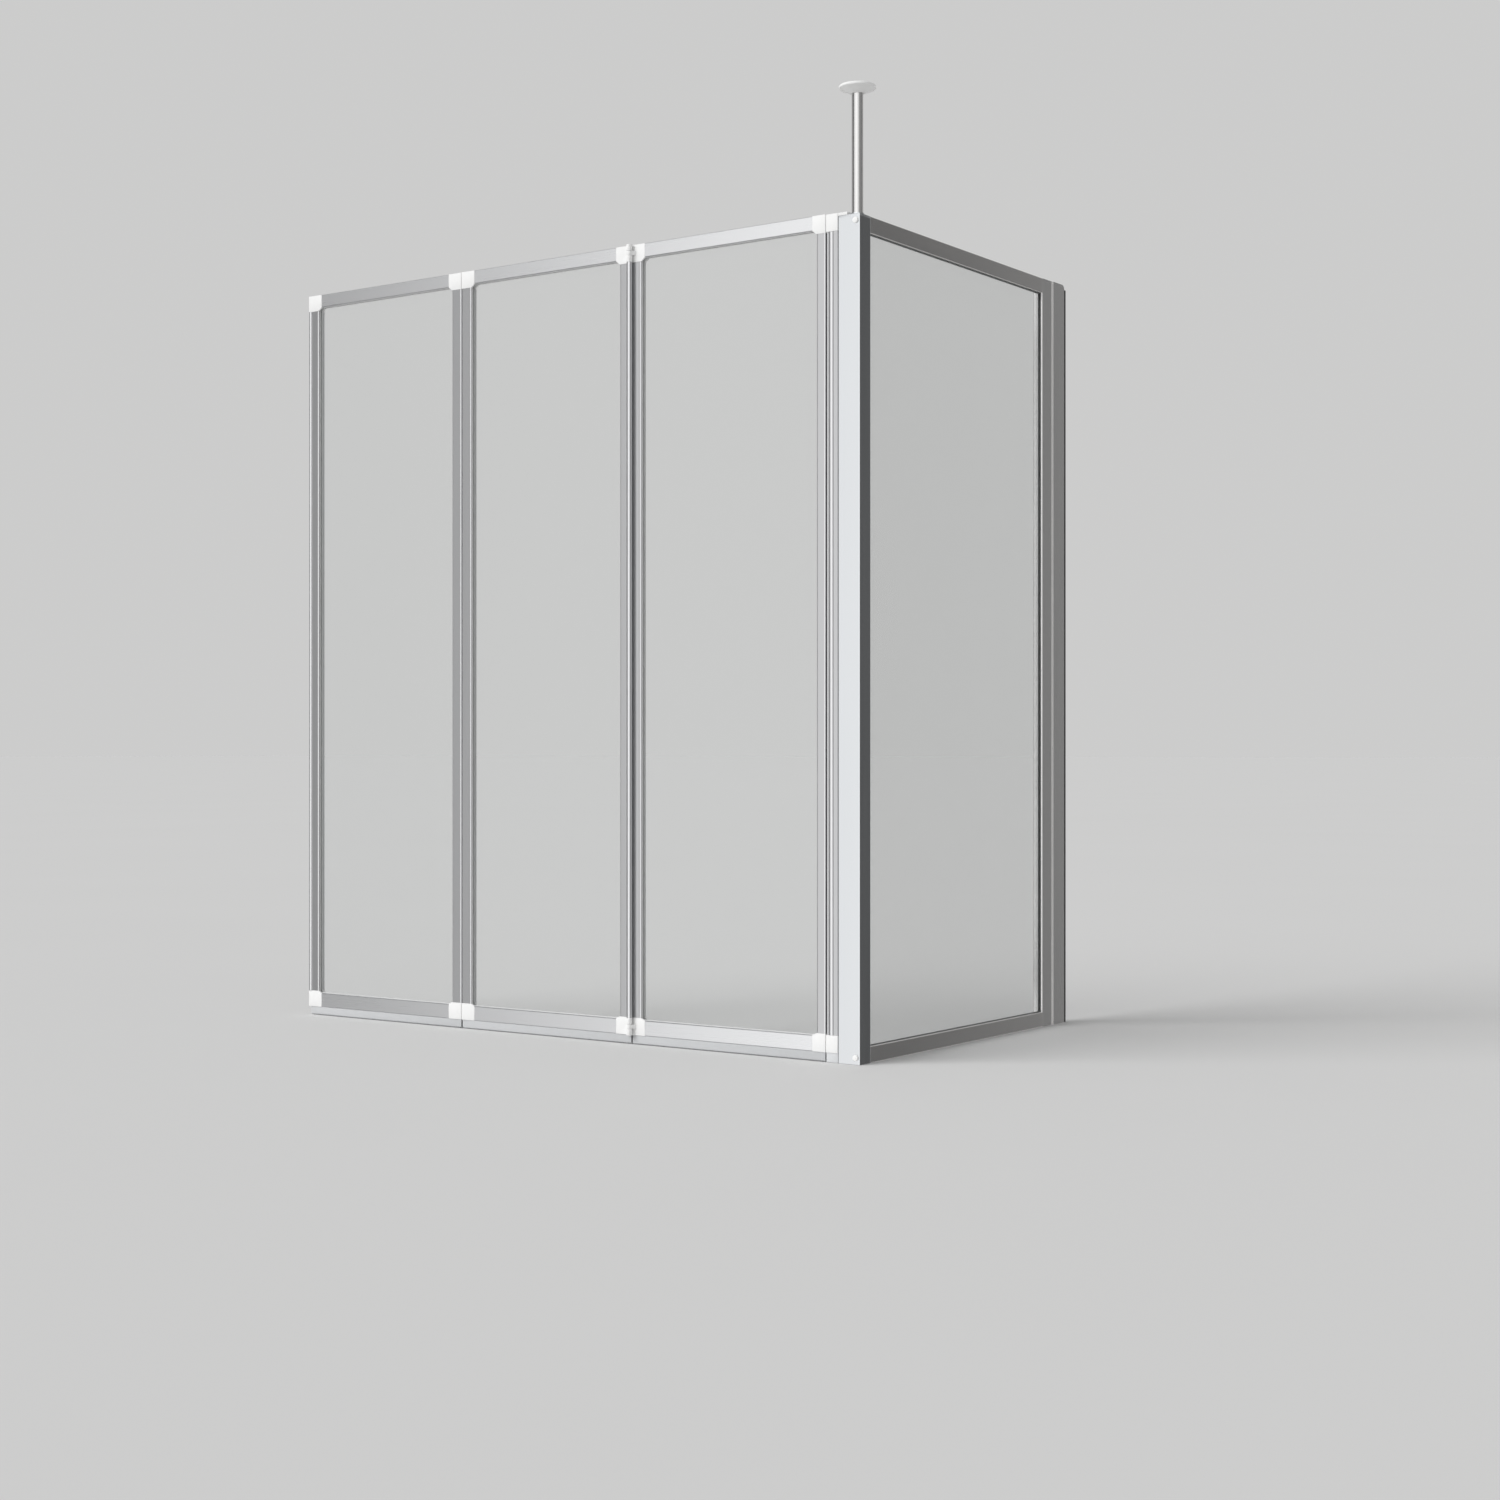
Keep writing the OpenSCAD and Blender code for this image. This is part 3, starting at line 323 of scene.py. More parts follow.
def soft_strip(name, colour, direction):
    """Extruded rubber or soft plastic strip, matt, with faint lines along it."""
    def build(tree):
        lines = tree.noise(1.0, ALONG[direction])
        dust = tree.noise(90.0)
        return {
            "Base Color": tree.tones(colour, 0.97, 1.03, dust),
            "Roughness": 0.58 + dust * 0.08,
            "Specular IOR Level": 0.35,
            "Normal": tree.bump(lines, 0.15, 40 * MICRON),
        }
    return finish(name, build)


def turned_steel():
    """Bright steel of the screws and pins."""
    def build(tree):
        grain = tree.noise(1800.0)
        cloud = tree.noise(260.0)
        return {
            "Base Color": tree.tones(colours().steel, 0.85, 1.1, cloud),
            "Metallic": 1.0,
            "Roughness": 0.24 + cloud * 0.16,
            "Normal": tree.bump(grain, 0.08, 20 * MICRON),
        }
    return finish("Zinc plated steel", build)


def clear_glass():
    """Clear pane: almost unseen face on, more at a glancing angle, with a trace of haze."""
    def build(tree):
        haze = tree.noise(6.0, detail=3.0)
        glance = tree.node("ShaderNodeLayerWeight", {}, {"Blend": 0.22}, output="Fresnel")
        return {
            "Base Color": tree.tones(colours().glass, 0.97, 1.0, haze),
            "Roughness": 0.03 + haze * 0.03,
            "IOR": 1.5,
            "Specular IOR Level": 0.6,
            "Alpha": 0.075 + haze * 0.012 + glance * 0.13,
        }
    glass = finish("Clear glass", build)
    glass.surface_render_method = "BLENDED"
    return glass


# Profiles: title, colour, direction of the lines, metallic share and roughness
PROFILES = {
    # stile and rail below share one aluminium; their colours differ as painted shade and painted
    # reflection
    "stile": ("Stile aluminium", "stile", "z", 0.9, 0.26),
    "post": ("Post aluminium", "post", "z", 1.0, 0.13),
    "rail": ("Leaf rail aluminium", "rail", "x", 0.9, 0.25),
    "side_rail": ("Side rail aluminium", "side_rail", "y", 0.95, 0.19),
    "side": ("Side stile aluminium", "side", "z", 0.9, 0.19),
    "cap": ("Post cap aluminium", "post", "x", 0.95, 0.19),
    "plate": ("Ceiling base aluminium", "rail", "x", 0.9, 0.31),
}
# Mouldings: title, colour and roughness
MOULDINGS = {
    "white": ("White plastic", "white", 0.30),
    "grey": ("Grey plastic", "grey", 0.42),
}
# Strips: title, colour, direction of the lines and brightness of the colour
STRIPS = {
    "drip": ("Drip strip", "grey", "x", 1.0),
    "foot": ("Foot seal", "grey", "x", 1.2),
    "gasket": ("Light gasket", "light_seal", "z", 1.0),
    "side_gasket": ("Dark gasket", "dark_seal", "z", 1.0),
    # the wall seal's near-black is partly painted shade for the shadow gap at the wall
    "wall_seal": ("Wall seal", "black_seal", "z", 1.0),
}
OTHERS = {"strut": strut_tube_metal, "steel": turned_steel, "glass": clear_glass}

_made = {}


def made_finish(key):
    """A new material for that key."""
    if key in PROFILES:
        title, colour, direction, metal, satin = PROFILES[key]
        return extruded_aluminium(title, getattr(colours(), colour), direction, metal, satin)
    if key in MOULDINGS:
        title, colour, gloss = MOULDINGS[key]
        return moulded_plastic(title, getattr(colours(), colour), gloss)
    if key in STRIPS:
        title, colour, direction, brightness = STRIPS[key]
        return soft_strip(title, scaled(getattr(colours(), colour), brightness), direction)
    return OTHERS[key]()


def material(key):
    """The finish of that key, made on first use."""
    if key not in _made:
        _made[key] = made_finish(key)
    return _made[key]


# ---------- meshes ----------


def paint(mesh, key):
    mesh.materials.clear()
    mesh.materials.append(material(key))


def dress(node, key):
    """Gives a CAD node its finish."""
    paint(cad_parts[node].data, key)


def linked(name, data):
    """A new object in the scene."""
    obj = bpy.data.objects.new(name, data)
    bpy.context.scene.collection.objects.link(obj)
    return obj


def new_piece(name, mesh, key, body, replaced=()):
    """Links a mesh as a piece that rides on a body."""
    obj = linked(name, mesh)
    paint(mesh, key)
    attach(obj, body)
    if replaced:
        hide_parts(*replaced)
    return obj


def shade(mesh, angle):
    """Smooth shading, with edges that turn by more than the angle kept sharp."""
    mesh.shade_smooth()
    mesh.set_sharp_from_angle(angle=math.radians(angle))


def as_mesh(work, name):
    """The mesh of an edit mesh, which is freed."""
    mesh = bpy.data.meshes.new(name)
    work.to_mesh(mesh)
    work.free()
    return mesh


def merged(node):
    """An edit mesh of a CAD node, with its doubled points made one."""
    work = bmesh.new()
    work.from_mesh(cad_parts[node].data)
    bmesh.ops.remove_doubles(work, verts=work.verts, dist=WELD)
    return work


def welded(node):
    """A merged copy of a CAD node's mesh, with its flat faces joined."""
    work = merged(node)
    bmesh.ops.dissolve_limit(work, angle_limit=math.radians(FLAT), verts=work.verts,
                             edges=work.edges)
    return as_mesh(work, node + "_welded")


def evaluated_mesh(holder):
    """The mesh of a working object after its modifiers. The object is removed."""
    bpy.context.view_layer.update()
    evaluated = holder.evaluated_get(bpy.context.evaluated_depsgraph_get())
    mesh = bpy.data.meshes.new_from_object(evaluated)
    bpy.data.objects.remove(holder)
    return mesh


def softened(node, width, key, body):
    """A copy of a moulded CAD node with softly rounded edges, which stands for it."""
    title = node + "_moulding"
    holder = linked(title + "_work", welded(node))
    bevel = holder.modifiers.new("bevel", "BEVEL")
    bevel.width = width
    bevel.segments = BEVEL_STEPS
    bevel.limit_method = "ANGLE"
    bevel.angle_limit = math.radians(BEVEL_FROM)
    bevel.use_clamp_overlap = True
    bevel.profile = 0.5
    mesh = evaluated_mesh(holder)
    mesh.name = title
    shade(mesh, SHARP_MOULDING)
    return new_piece(title, mesh, key, body, [node])


def islands(node):
    """The boxes of the separate solids in a CAD node: (low, high) corners."""
    work = merged(node)
    left = set(work.verts)
    boxes = []
    while left:
        start = left.pop()
        group, queue = [start], [start]
        while queue:
            for edge in queue.pop().link_edges:
                for vert in edge.verts:
                    if vert in left:
                        left.remove(vert)
                        group.append(vert)
                        queue.append(vert)
        low = Vector([min(v.co[i] for v in group) for i in range(3)])
        high = Vector([max(v.co[i] for v in group) for i in range(3)])
        boxes.append((low, high))
    work.free()
    return sorted(boxes, key=lambda b: (round(b[0].z, 4), round(b[0].x, 4), round(b[0].y, 4)))


def lathe(name, outline, centre, axis, steps):
    """A closed solid turned from (radius, height) points round an axis through centre."""
    work = bmesh.new()
    turn = Vector((0, 0, 1)).rotation_difference(Vector(axis)).to_matrix()
    rings = []
    for radius, height in outline:
        if radius < ON_AXIS:
            rings.append([work.verts.new(turn @ Vector((0, 0, height)) + centre)])
            continue
        rings.append([work.verts.new(turn @ Vector((
            radius * math.cos(2 * math.pi * i / steps),
            radius * math.sin(2 * math.pi * i / steps), height)) + centre) for i in range(steps)])
    pairs = list(zip(rings, rings[1:]))
    if len(rings[0]) > 1 or len(rings[-1]) > 1:
        pairs.append((rings[-1], rings[0]))
    for a, b in pairs:
        for i in range(steps):
            j = (i + 1) % steps
            corner = [a[i % len(a)], a[j % len(a)], b[j % len(b)], b[i % len(b)]]
            face = list(dict.fromkeys(corner))
            if len(face) > 2:
                work.faces.new(face)
    bmesh.ops.recalc_face_normals(work, faces=work.faces)
    mesh = as_mesh(work, name)
    shade(mesh, SHARP_TURNED)
    return mesh


def rounded_profile(points, radii, steps):
    """Rounds the corners of a closed 2-D outline, each with its own radius."""
    result = []
    for i, (corner, radius) in enumerate(zip(points, radii)):
        here = Vector(corner)
        if radius <= 0:
            result.append(tuple(here))
            continue
        before = Vector(points[i - 1]) - here
        after = Vector(points[(i + 1) % len(points)]) - here
        reach = min(radius, before.length * 0.49, after.length * 0.49)
        start = here + before.normalized() * reach
        end = here + after.normalized() * reach
        for s in range(steps + 1):
            t = s / steps
            result.append(tuple(start * (1 - t) ** 2 + here * 2 * t * (1 - t) + end * t ** 2))
    return result


def mitred_ring(work, section, x_low, x_high, z_low, z_high, flip):
    """A frame of one section round a rectangle in X and Z. Section points are (out, y): out is
    the distance outwards from the rectangle's edge."""
    loops = []
    for sx, sz, x, z in ((-1, -1, x_low, z_low), (1, -1, x_high, z_low),
                         (1, 1, x_high, z_high), (-1, 1, x_low, z_high)):
        ring = []
        for out, y in section:
            px, pz = x + sx * out, z + sz * out
            ring.append(work.verts.new((y, px, pz) if flip else (px, y, pz)))
        loops.append(ring)
    for i in range(4):
        a, b = loops[i], loops[(i + 1) % 4]
        for k in range(len(section)):
            m = (k + 1) % len(section)
            work.faces.new((a[k], b[k], b[m], a[m]))


def joined(name, meshes, key, body, replaced):
    """Several meshes as one piece."""
    work = bmesh.new()
    for part in meshes:
        work.from_mesh(part)
    mesh = as_mesh(work, name)
    shade(mesh, SHARP_TURNED)
    return new_piece(name, mesh, key, body, replaced)


# ---------- screws ----------


SCREW_LENGTHS = ("Head radius", "Head height", "Dome", "Recess width", "Recess depth",
                 "Shank radius", "Shank length")


def screw_tree():
    """Pan-head screws with a cross recess, one on each point, along the attribute 'axis'."""
    group = bpy.data.node_groups.new("Pan-head screws", "GeometryNodeTree")
    face = group.interface
    face.new_socket("Geometry", in_out="INPUT", socket_type="NodeSocketGeometry")
    for title in SCREW_LENGTHS:
        face.new_socket(title, in_out="INPUT", socket_type="NodeSocketFloat")
    face.new_socket("Material", in_out="INPUT", socket_type="NodeSocketMaterial")
    face.new_socket("Geometry", in_out="OUTPUT", socket_type="NodeSocketGeometry")
    tree = Tree(group)
    given = tree.node("NodeGroupInput")

    def ask(title):
        return tree.out(given, title)

    radius, height = ask("Head radius"), ask("Head height")
    head = tree.node("GeometryNodeMeshCylinder", {"fill_type": "TRIANGLE_FAN"},
                     {"Vertices": HEAD_SIDES, "Side Segments": 2, "Fill Segments": 7,
                      "Radius": radius, "Depth": height})
    place = tree.node("GeometryNodeInputPosition")
    split = tree.node("ShaderNodeSeparateXYZ", {}, {0: place})
    x, y, z = (tree.out(split, axis) for axis in ("X", "Y", "Z"))
    far = (x * x + y * y).power(0.5) / radius
    on_top = z > height * TOP_FROM
    arm = far < RECESS_REACH
    half = ask("Recess width") * 0.5
    slots = (abs(x) < half).most(abs(y) < half)
    sink = slots * arm * ask("Recess depth")
    fall = far * far * ask("Dome")
    lowered = tree.node("ShaderNodeCombineXYZ", {}, {2: on_top * (0 - (sink + fall))})
    shaped = tree.node("GeometryNodeSetPosition", {}, {"Geometry": head, "Offset": lowered})
    lift = tree.node("ShaderNodeCombineXYZ", {}, {2: height * 0.5})
    seated = tree.node("GeometryNodeTransform", {}, {"Geometry": shaped, "Translation": lift})
    length = ask("Shank length")
    shank = tree.node("GeometryNodeMeshCylinder", {"fill_type": "NGON"},
                      {"Vertices": SHANK_SIDES, "Radius": ask("Shank radius"), "Depth": length})
    drop = tree.node("ShaderNodeCombineXYZ", {}, {2: length * -0.5})
    sunk = tree.node("GeometryNodeTransform", {}, {"Geometry": shank, "Translation": drop})
    join = tree.tree.nodes.new("GeometryNodeJoinGeometry")
    tree.tree.links.new(seated.socket, join.inputs[0])
    tree.tree.links.new(sunk.socket, join.inputs[0])
    axis = tree.node("GeometryNodeInputNamedAttribute", {"data_type": "FLOAT_VECTOR"},
                     {"Name": "axis"})
    aim = tree.node("FunctionNodeAlignRotationToVector", {"axis": "Z"}, {"Vector": axis})
    spin = tree.node("FunctionNodeRandomValue", {"data_type": "FLOAT"}, {"Seed": 7})
    spin_socket = [s for s in spin.socket.node.outputs if s.enabled][0]
    for socket in spin.socket.node.inputs:
        if socket.enabled and socket.name == "Max":
            socket.default_value = math.pi / 2
    turn = tree.node("ShaderNodeCombineXYZ", {}, {2: Value(tree, spin_socket)})
    many = tree.node("GeometryNodeInstanceOnPoints", {},
                     {"Points": ask("Geometry"), "Instance": Value(tree, join.outputs[0]),
                      "Rotation": aim})
    turned = tree.node("GeometryNodeRotateInstances", {}, {"Instances": many, "Rotation": turn})
    real = tree.node("GeometryNodeRealizeInstances", {}, {"Geometry": turned})
    smooth = tree.node("GeometryNodeSetShadeSmooth", {}, {0: real, "Shade Smooth": False})
    done = tree.node("GeometryNodeSetMaterial", {},
                     {"Geometry": smooth, "Material": ask("Material")})
    tree.node("NodeGroupOutput", {}, {0: done})
    return group


def screws(node, axis, body, kind):
    """Stands for a node of screws: one head on each solid's outer face, found in the frame."""
    head_height, shank_radius, shank_length = kind
    work = bmesh.new()
    direction = Vector(axis)
    k = max(range(3), key=lambda i: abs(direction[i]))
    spots = []
    boxes = islands(node)
    head_radius = (boxes[0][1].z - boxes[0][0].z) / 2
    for low, high in boxes:
        seat = (low + high) / 2
        seat[k] = (high[k] - head_height) if direction[k] > 0 else (low[k] + head_height)
        if not any((seat - s).length < head_radius for s in spots):
            spots.append(seat)
            work.verts.new(seat)
    mesh = as_mesh(work, node + "_points")
    lay = mesh.attributes.new("axis", "FLOAT_VECTOR", "POINT")
    for item in lay.data:
        item.vector = direction
    holder = linked(node + "_points", mesh)
    modifier = holder.modifiers.new("screws", "NODES")
    group = bpy.data.node_groups.get("Pan-head screws") or screw_tree()
    modifier.node_group = group
    asked = {"Head radius": head_radius, "Head height": head_height, "Dome": sizes().dome,
             "Recess width": sizes().recess_width, "Recess depth": sizes().recess_depth,
             "Shank radius": shank_radius, "Shank length": shank_length,
             "Material": material("steel")}
    for item in group.interface.items_tree:
        if item.in_out == "INPUT" and item.name in asked:
            modifier[item.identifier] = asked[item.name]
    result = evaluated_mesh(holder)
    if not result.vertices:
        raise RuntimeError("no screws were made for " + node)
    shade(result, SHARP_SCREW)
    return new_piece(node + "_pan_heads", result, "steel", body, [node])


# ---------- operators ----------


class BATHSCREEN_OT_profiles(bpy.types.Operator):
    """Gives the aluminium profiles their satin anodised finish"""
    bl_idname = "bath_screen.profiles"
    bl_label = "Aluminium profiles"

    def execute(self, context):
        for leaf in LEAVES:
            for side in ("right", "left"):
                dress(f"{leaf}_{side}_stile", "stile")
            for level in ("top", "bottom"):
                dress(f"{leaf}_{level}_rail", "rail")
        dress("corner_post", "post")
        dress("hinge_profile", "stile")
        dress("side_stile", "side")
        dress("wall_profile", "side")
        dress("side_top_rail", "side_rail")
        dress("side_bottom_rail", "side_rail")
        return {"FINISHED"}


class BATHSCREEN_OT_panes(bpy.types.Operator):
    """Gives the four panes their clear glass"""
    bl_idname = "bath_screen.panes"
    bl_label = "Glass panes"

    def execute(self, context):
        for node in ("side_pane", *(f"{leaf}_pane" for leaf in LEAVES)):
            dress(node, "glass")
        return {"FINISHED"}


class BATHSCREEN_OT_corners(bpy.types.Operator):
    """Makes the leaves' white corner pieces, with softened moulded edges"""
    bl_idname = "bath_screen.corners"
    bl_label = "Corner pieces"

    def execute(self, context):
        for leaf, body in LEAVES.items():
            for corner in CORNERS:
                softened(f"{leaf}_{corner}_corner", sizes().softening, "white", body)
        return {"FINISHED"}


class BATHSCREEN_OT_caps(bpy.types.Operator):
    """Makes the caps and the foot of the post and of the hinge profile"""
    bl_idname = "bath_screen.caps"
    bl_label = "Post and hinge caps"

    def execute(self, context):
        width = sizes().cover_softening
        softened("post_cap", width, "cap", FIXED)
        softened("post_foot", width, "grey", FIXED)
        softened("hinge_top_cap", width, "white", FIXED)
        softened("hinge_bottom_cap", width, "white", FIXED)
        softened("hinge_foot_seal", width, "foot", FIXED)
        return {"FINISHED"}


class BATHSCREEN_OT_gaskets(bpy.types.Operator):
    """Makes the glazing gaskets: mitred frames with a rounded lip, on both sides of each pane"""
    bl_idname = "bath_screen.gaskets"
    bl_label = "Glazing gaskets"

    def ring_pair(self, node, key, body, slot):
        boxes = islands(node)
        low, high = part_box(node)
        flip = (high.x - low.x) < (high.y - low.y)
        thin = 0 if flip else 1
        wide = 1 if flip else 0
        work = bmesh.new()
        layers = sorted({(round(b[0][thin], 5), round(b[1][thin], 5)) for b in boxes})
        strip = min(min(b[1][wide] - b[0][wide], b[1].z - b[0].z) for b in boxes)
        lip = sizes().lip_round
        for v_low, v_high in layers:
            section = rounded_profile([(-strip, v_low), (0, v_low), (0, v_high), (-strip, v_high)],
                                      [lip, 0, 0, lip], LIP_STEPS)
            mitred_ring(work, section, low[wide], high[wide], low.z, high.z, flip)
        bmesh.ops.recalc_face_normals(work, faces=work.faces)
        mesh = as_mesh(work, node + "_frames")
        shade(mesh, SHARP_GASKET)
        return new_piece(node + "_frames", mesh, key, body, [node])

    def execute(self, context):
        for leaf, body in LEAVES.items():
            self.ring_pair(f"{leaf}_gasket", "gasket", body, "light_seal")
        self.ring_pair("side_gasket", "side_gasket", FIXED, "dark_seal")
        return {"FINISHED"}


class BATHSCREEN_OT_seals(bpy.types.Operator):
    """Makes the drip strips under the leaves and the seal strips at the wall"""
    bl_idname = "bath_screen.seals"
    bl_label = "Drip strips and seals"

    def execute(self, context):
        for leaf, body in LEAVES.items():
            softened(f"{leaf}_drip_strip", sizes().softening, "drip", body)
        softened("wall_seal", sizes().foam_round, "wall_seal", FIXED)
        return {"FINISHED"}


class BATHSCREEN_OT_screws(bpy.types.Operator):
    """Makes the frame and locking screws with domed heads, and dresses the other screws and pins"""
    bl_idname = "bath_screen.screws"
    bl_label = "Screws"

    def execute(self, context):
        for leaf, body in LEAVES.items():
            screws(f"{leaf}_screws", (0, 1, 0), body, FRAME_SCREW)
        screws("lock_screws", (-1, 0, 0), FIXED, LOCK_SCREW)
        dress("post_screws", "steel")
        dress("strut_grub_screws", "steel")
        for pins in ("post_hinge_pins", "middle_hinge_pins", "end_hinge_pins"):
            dress(pins, "steel")
        return {"FINISHED"}


class BATHSCREEN_OT_covers(bpy.types.Operator):
    """Makes the two domed covers over the post's screws"""
    bl_idname = "bath_screen.covers"
    bl_label = "Screw covers"

    def execute(self, context):
        meshes = []
        wall = sizes().cover_wall
        for low, high in islands("post_screw_covers"):
            centre = (low + high) / 2
            centre.y = high.y
            r, h = (high.x - low.x) / 2, high.y - low.y
            bulge, edge = sizes().cover_dome, (high.x - low.x) * SCREW_COVER_EDGE
            outline = [(r - wall, 0), (r, 0), (r, h - bulge - edge)]
            outline += [(r - edge * (1 - math.cos(a)), h - bulge - edge * (1 - math.sin(a)))
                        for a in BEND]
            face = r - edge
            outline += [(face * t, h - bulge * t * t) for t in (1.0, 0.75, 0.5, 0.25, 0.0)]
            outline += [(0, h - wall), (r - wall, h - wall)]
            meshes.append(lathe("cover", outline, centre, (0, -1, 0), SCREW_COVER_STEPS))
        joined("post_screw_covers_domes", meshes, "white", FIXED,
               ["post_screw_covers"])
        return {"FINISHED"}


class BATHSCREEN_OT_strut(bpy.types.Operator):
    """Dresses the strut and its ceiling plate and turns the ceiling cover"""
    bl_idname = "bath_screen.strut"
    bl_label = "Ceiling strut"

    def execute(self, context):
        dress("strut_tube", "strut")
        dress("ceiling_base", "plate")
        low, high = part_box("ceiling_cover")
        mid = (Vector(low) + Vector(high)) / 2
        top = Vector((mid.x, mid.y, high.z))
        r, h = (high.x - low.x) / 2, high.z - low.z
        tube_low, tube_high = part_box("strut_tube")
        bore = (tube_high.x - tube_low.x) / 2 + STRUT_GAP
        neck, wall, bend = r * NECK, sizes().cover_wall * CEILING_WALL, sizes().cover_rim
        outline = [(r - bend - wall, 0)]
        outline += [(r - bend + bend * math.sin(a), bend - bend * math.cos(a))
                    for a in (0.0, *BEND, 1.6)]
        shoulder = [(r - 0.25 * MM, bend + 1.2 * MM), (r - 1.2 * MM, bend + 2.1 * MM)]
        collar = [(neck + 0.4 * MM, h - 0.4 * MM), (neck - 0.3 * MM, h), (bore, h)]
        hollow = [(bore, h - wall), (neck, h - wall), (r - bend, bend + 0.4 * MM)]
        outline += shoulder + collar + hollow
        turned = lathe("ceiling cover", outline, top, (0, 0, -1), CEILING_COVER_STEPS)
        joined("ceiling_cover_turned", [turned], "white", FIXED,
               ["ceiling_cover"])
        return {"FINISHED"}


# ---------- stage ----------

FLOOR_DROP = 0.4 * MM   # gap under the part, so that the floor doesn't flicker through it
WORLD_LIGHT = 0.48      # even light from all round
KEY_LIGHT = ((-0.45, -0.75, 0.55), 2.1, 40.0)   # towards, power, width in degrees
LENS, SENSOR = 55.0, 36.0                       # in millimetres
CAMERA_AT = (2.0229, -3.1885, 0.5153)
CAMERA_TURN = (90.0, 0.0, 35.0)                 # in degrees
UPRIGHT = 0.35          # how much height counts in a mirrored direction: the boxes are tall
DIMMEST = 0.035         # what metal mirrors between the boxes
# What metal mirrors: (towards, brightness, fall), where the fall lists the angle from the box's
# middle in degrees and the brightness there as a share of its middle
SOFTBOXES = {
    "front": ((0.14, -0.99, 0.02), 1.55,
              [(0, 1.25), (9, 1.2), (17, 1.0), (34, 0.92), (41, 0.80), (48, 0.56), (52, 0.06),
               (60, 0.04), (80, 0.03), (110, 0.0)]),
    "back left": ((-0.70, 0.71, 0.06), 0.55,
                  [(0, 1.0), (50, 0.9), (62, 0.5), (75, 0.1), (90, 0.0)]),
    "back": ((0.17, 0.985, 0.02), 0.33,
             [(0, 1.0), (10, 0.85), (17, 0.6), (20, 0.05), (23, 0.0)]),
    "back right": ((0.766, 0.643, 0.02), 0.55, [(0, 1.0), (8, 0.95), (11, 0.4), (13, 0.0)]),
    "right": ((0.985, -0.17, 0.02), 0.43,
              [(0, 1.0), (15, 0.85), (25, 0.5), (35, 0.15), (45, 0.0)]),
}


def softbox(tree, direction, middle, fall):
    """Brightness of one softbox seen in a direction, from its falling edge."""
    toward = tree.node("ShaderNodeVectorMath", {"operation": "DOT_PRODUCT"},
                       {0: direction, 1: tuple(Vector(middle).normalized())}, output="Value")
    stops = [(0.5 + 0.5 * math.cos(math.radians(angle)), level) for angle, level in reversed(fall)]
    return tree.node("ShaderNodeValToRGB", {"stops": [(0.0, 0.0)] + stops}, {0: toward * 0.5 + 0.5})


def studio_glow(tree, direction):
    """What metal and glass mirror: a tall softbox in front and faint ones behind and beside."""
    flat = tree.node("ShaderNodeVectorMath", {"operation": "MULTIPLY"},
                     {0: direction, 1: (1.0, 1.0, UPRIGHT)})
    toward = tree.node("ShaderNodeVectorMath", {"operation": "NORMALIZE"}, {0: flat})
    glow = DIMMEST
    for middle, level, fall in SOFTBOXES.values():
        glow = softbox(tree, toward, middle, fall) * level + glow
    return glow


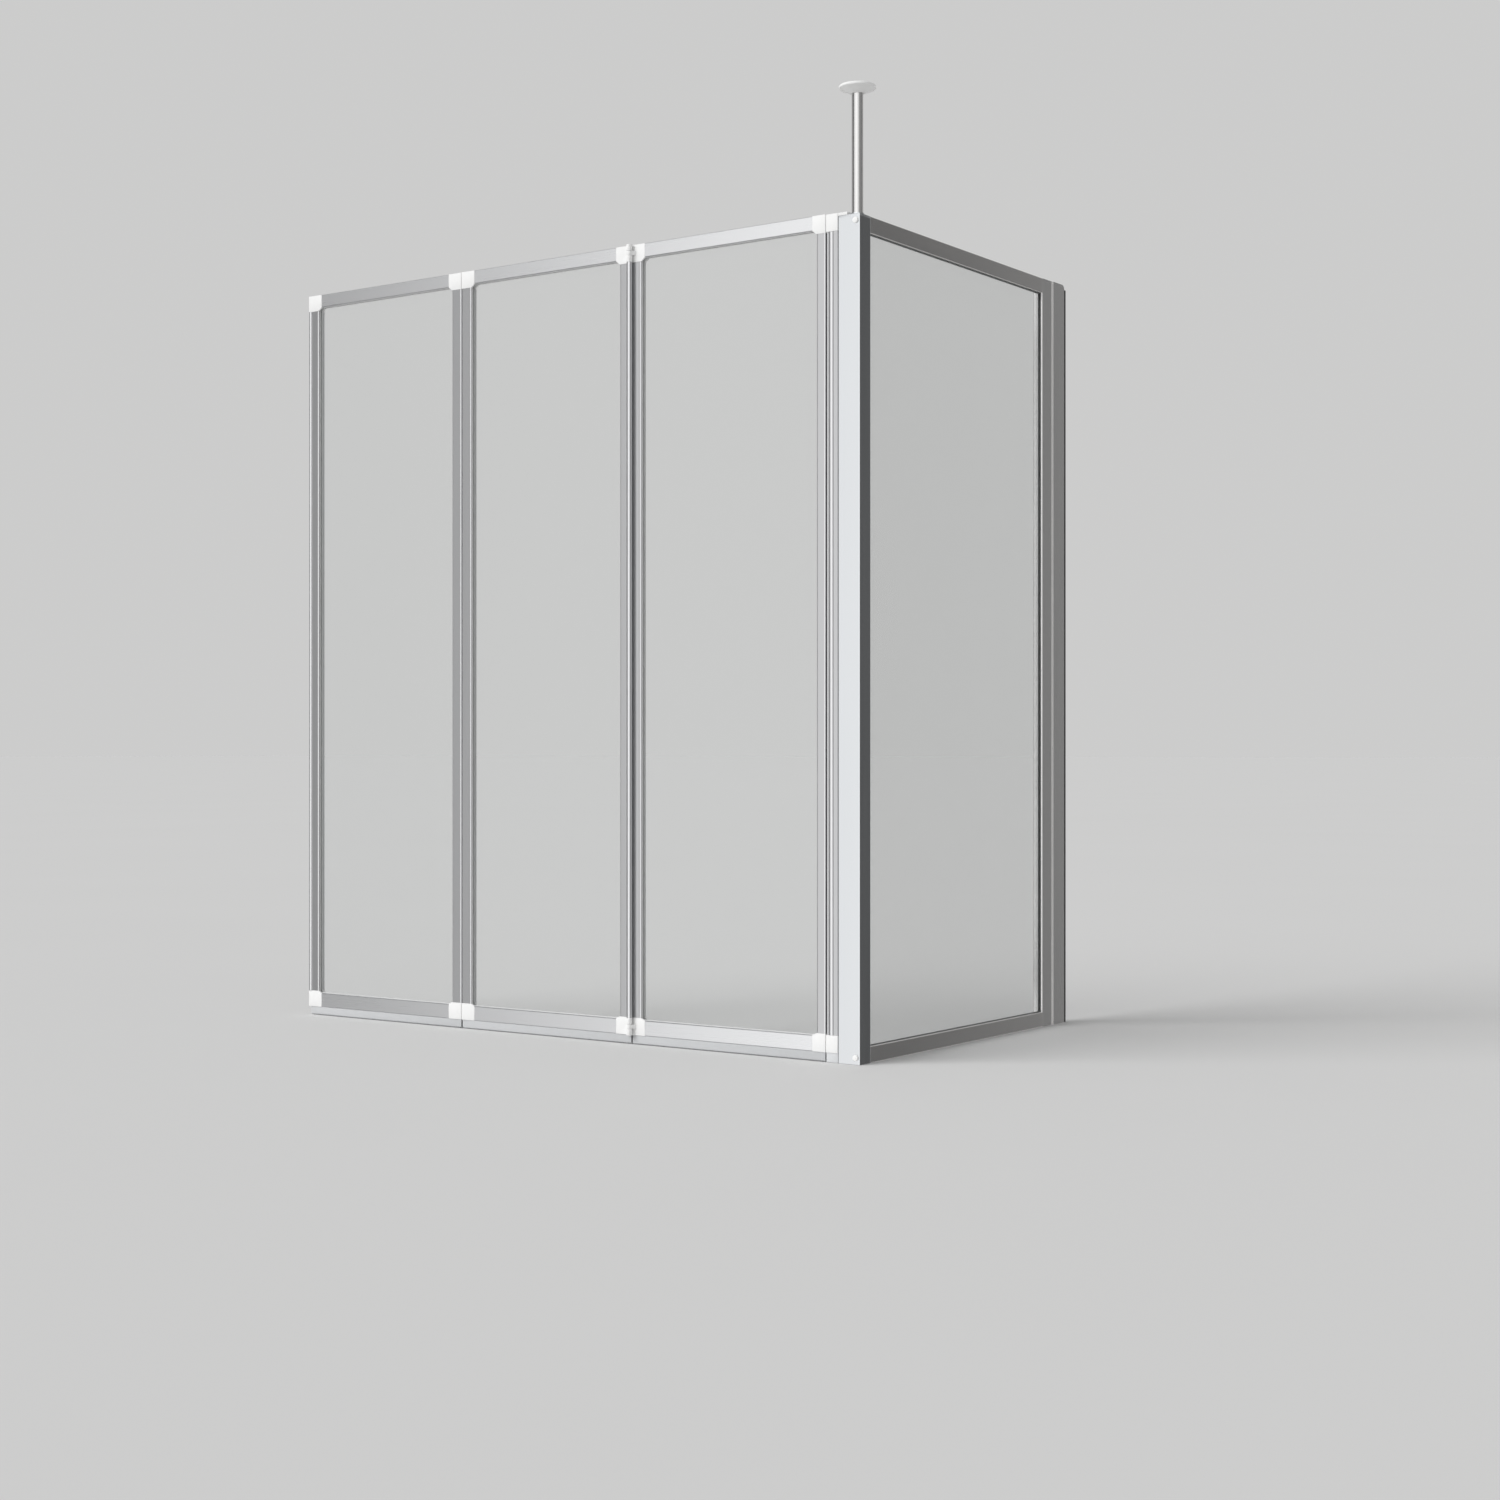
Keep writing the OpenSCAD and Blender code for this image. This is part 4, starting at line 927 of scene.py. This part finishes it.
class BATHSCREEN_OT_stage(bpy.types.Operator):
    """Builds the pale floor, the soft studio light and the camera"""
    bl_idname = "bath_screen.stage"
    bl_label = "Stage"

    def floor(self):
        half = sizes().floor_side / 2
        work = bmesh.new()
        bmesh.ops.create_grid(work, x_segments=1, y_segments=1, size=half)
        mesh = as_mesh(work, "studio_floor")
        mesh.transform(Matrix.Translation((0, 0, -FLOOR_DROP)))
        obj = linked("studio_floor", mesh)

        def build(tree):
            grain = tree.noise(0.8)
            return {"Base Color": tree.tones(colours().floor, 0.99, 1.01, grain),
                    "Roughness": 1.0, "Specular IOR Level": 0.0}
        mesh.materials.append(finish("Pale floor", build))
        obj.visible_glossy = False

    def world(self):
        world = bpy.data.worlds.new("Studio")
        bpy.context.scene.world = world
        world.use_nodes = True
        world.node_tree.nodes.clear()
        tree = Tree(world.node_tree)
        direction = tree.node("ShaderNodeTexCoord", output="Generated")
        light = tree.node("ShaderNodeBackground", {},
                          {"Color": (1, 1, 1, 1), "Strength": WORLD_LIGHT})
        seen = tree.node("ShaderNodeBackground", {},
                         {"Color": (*colours().background, 1.0), "Strength": 1.0})
        mirrored = tree.node("ShaderNodeBackground", {},
                             {"Color": studio_glow(tree, direction), "Strength": 1.0})
        rays = tree.node("ShaderNodeLightPath", output="Is Camera Ray")
        through = tree.out(rays, "Is Transmission Ray")
        glossy = tree.out(rays, "Is Glossy Ray")
        first = tree.node("ShaderNodeMixShader", {}, {0: glossy, 1: light, 2: mirrored})
        straight = (rays + through).least(1.0)
        last = tree.node("ShaderNodeMixShader", {}, {0: straight, 1: first, 2: seen})
        tree.node("ShaderNodeOutputWorld", {}, {"Surface": last})

    def lamp(self, name, direction, power, softness):
        data = bpy.data.lights.new(name, "SUN")
        data.energy = power
        data.angle = math.radians(softness)
        obj = linked(name, data)
        obj.rotation_euler = Vector(direction).to_track_quat("Z", "Y").to_euler()
        obj.visible_glossy = False

    def camera(self):
        data = bpy.data.cameras.new("Camera")
        data.lens = LENS
        data.sensor_width = SENSOR
        obj = linked("Camera", data)
        obj.location = CAMERA_AT
        obj.rotation_euler = [math.radians(angle) for angle in CAMERA_TURN]
        bpy.context.scene.camera = obj

    def execute(self, context):
        self.floor()
        self.world()
        self.lamp("Key softbox", *KEY_LIGHT)
        self.camera()
        context.scene.view_settings.view_transform = "Standard"
        return {"FINISHED"}


class BATHSCREEN_PT_panel(bpy.types.Panel):
    """Lists the sizes, the colours and the steps"""
    bl_idname = "BATHSCREEN_PT_panel"
    bl_label = "Bath screen"
    bl_space_type = "VIEW_3D"
    bl_region_type = "UI"
    bl_category = "Bath screen"

    def draw(self, context):
        for group in (context.scene.bath_screen_sizes, context.scene.bath_screen_colours):
            for name in group.bl_rna.properties.keys():
                if name not in ("rna_type", "name"):
                    self.layout.prop(group, name)
        for step in STEPS:
            self.layout.operator(step.bl_idname)


STEPS = (BATHSCREEN_OT_profiles, BATHSCREEN_OT_panes, BATHSCREEN_OT_corners, BATHSCREEN_OT_caps,
         BATHSCREEN_OT_gaskets, BATHSCREEN_OT_seals, BATHSCREEN_OT_screws, BATHSCREEN_OT_covers,
         BATHSCREEN_OT_strut, BATHSCREEN_OT_stage)
CLASSES = (BATHSCREEN_PG_sizes, BATHSCREEN_PG_colours, *STEPS, BATHSCREEN_PT_panel)


def register():
    for cls in CLASSES:
        bpy.utils.register_class(cls)
    bpy.types.Scene.bath_screen_sizes = bpy.props.PointerProperty(type=BATHSCREEN_PG_sizes)
    bpy.types.Scene.bath_screen_colours = bpy.props.PointerProperty(type=BATHSCREEN_PG_colours)


def unregister():
    del bpy.types.Scene.bath_screen_colours
    del bpy.types.Scene.bath_screen_sizes
    for cls in reversed(CLASSES):
        bpy.utils.unregister_class(cls)


def main():
    register()
    for step in STEPS:
        area, name = step.bl_idname.split(".")
        getattr(getattr(bpy.ops, area), name)()


if __name__ == "__main__":
    main()
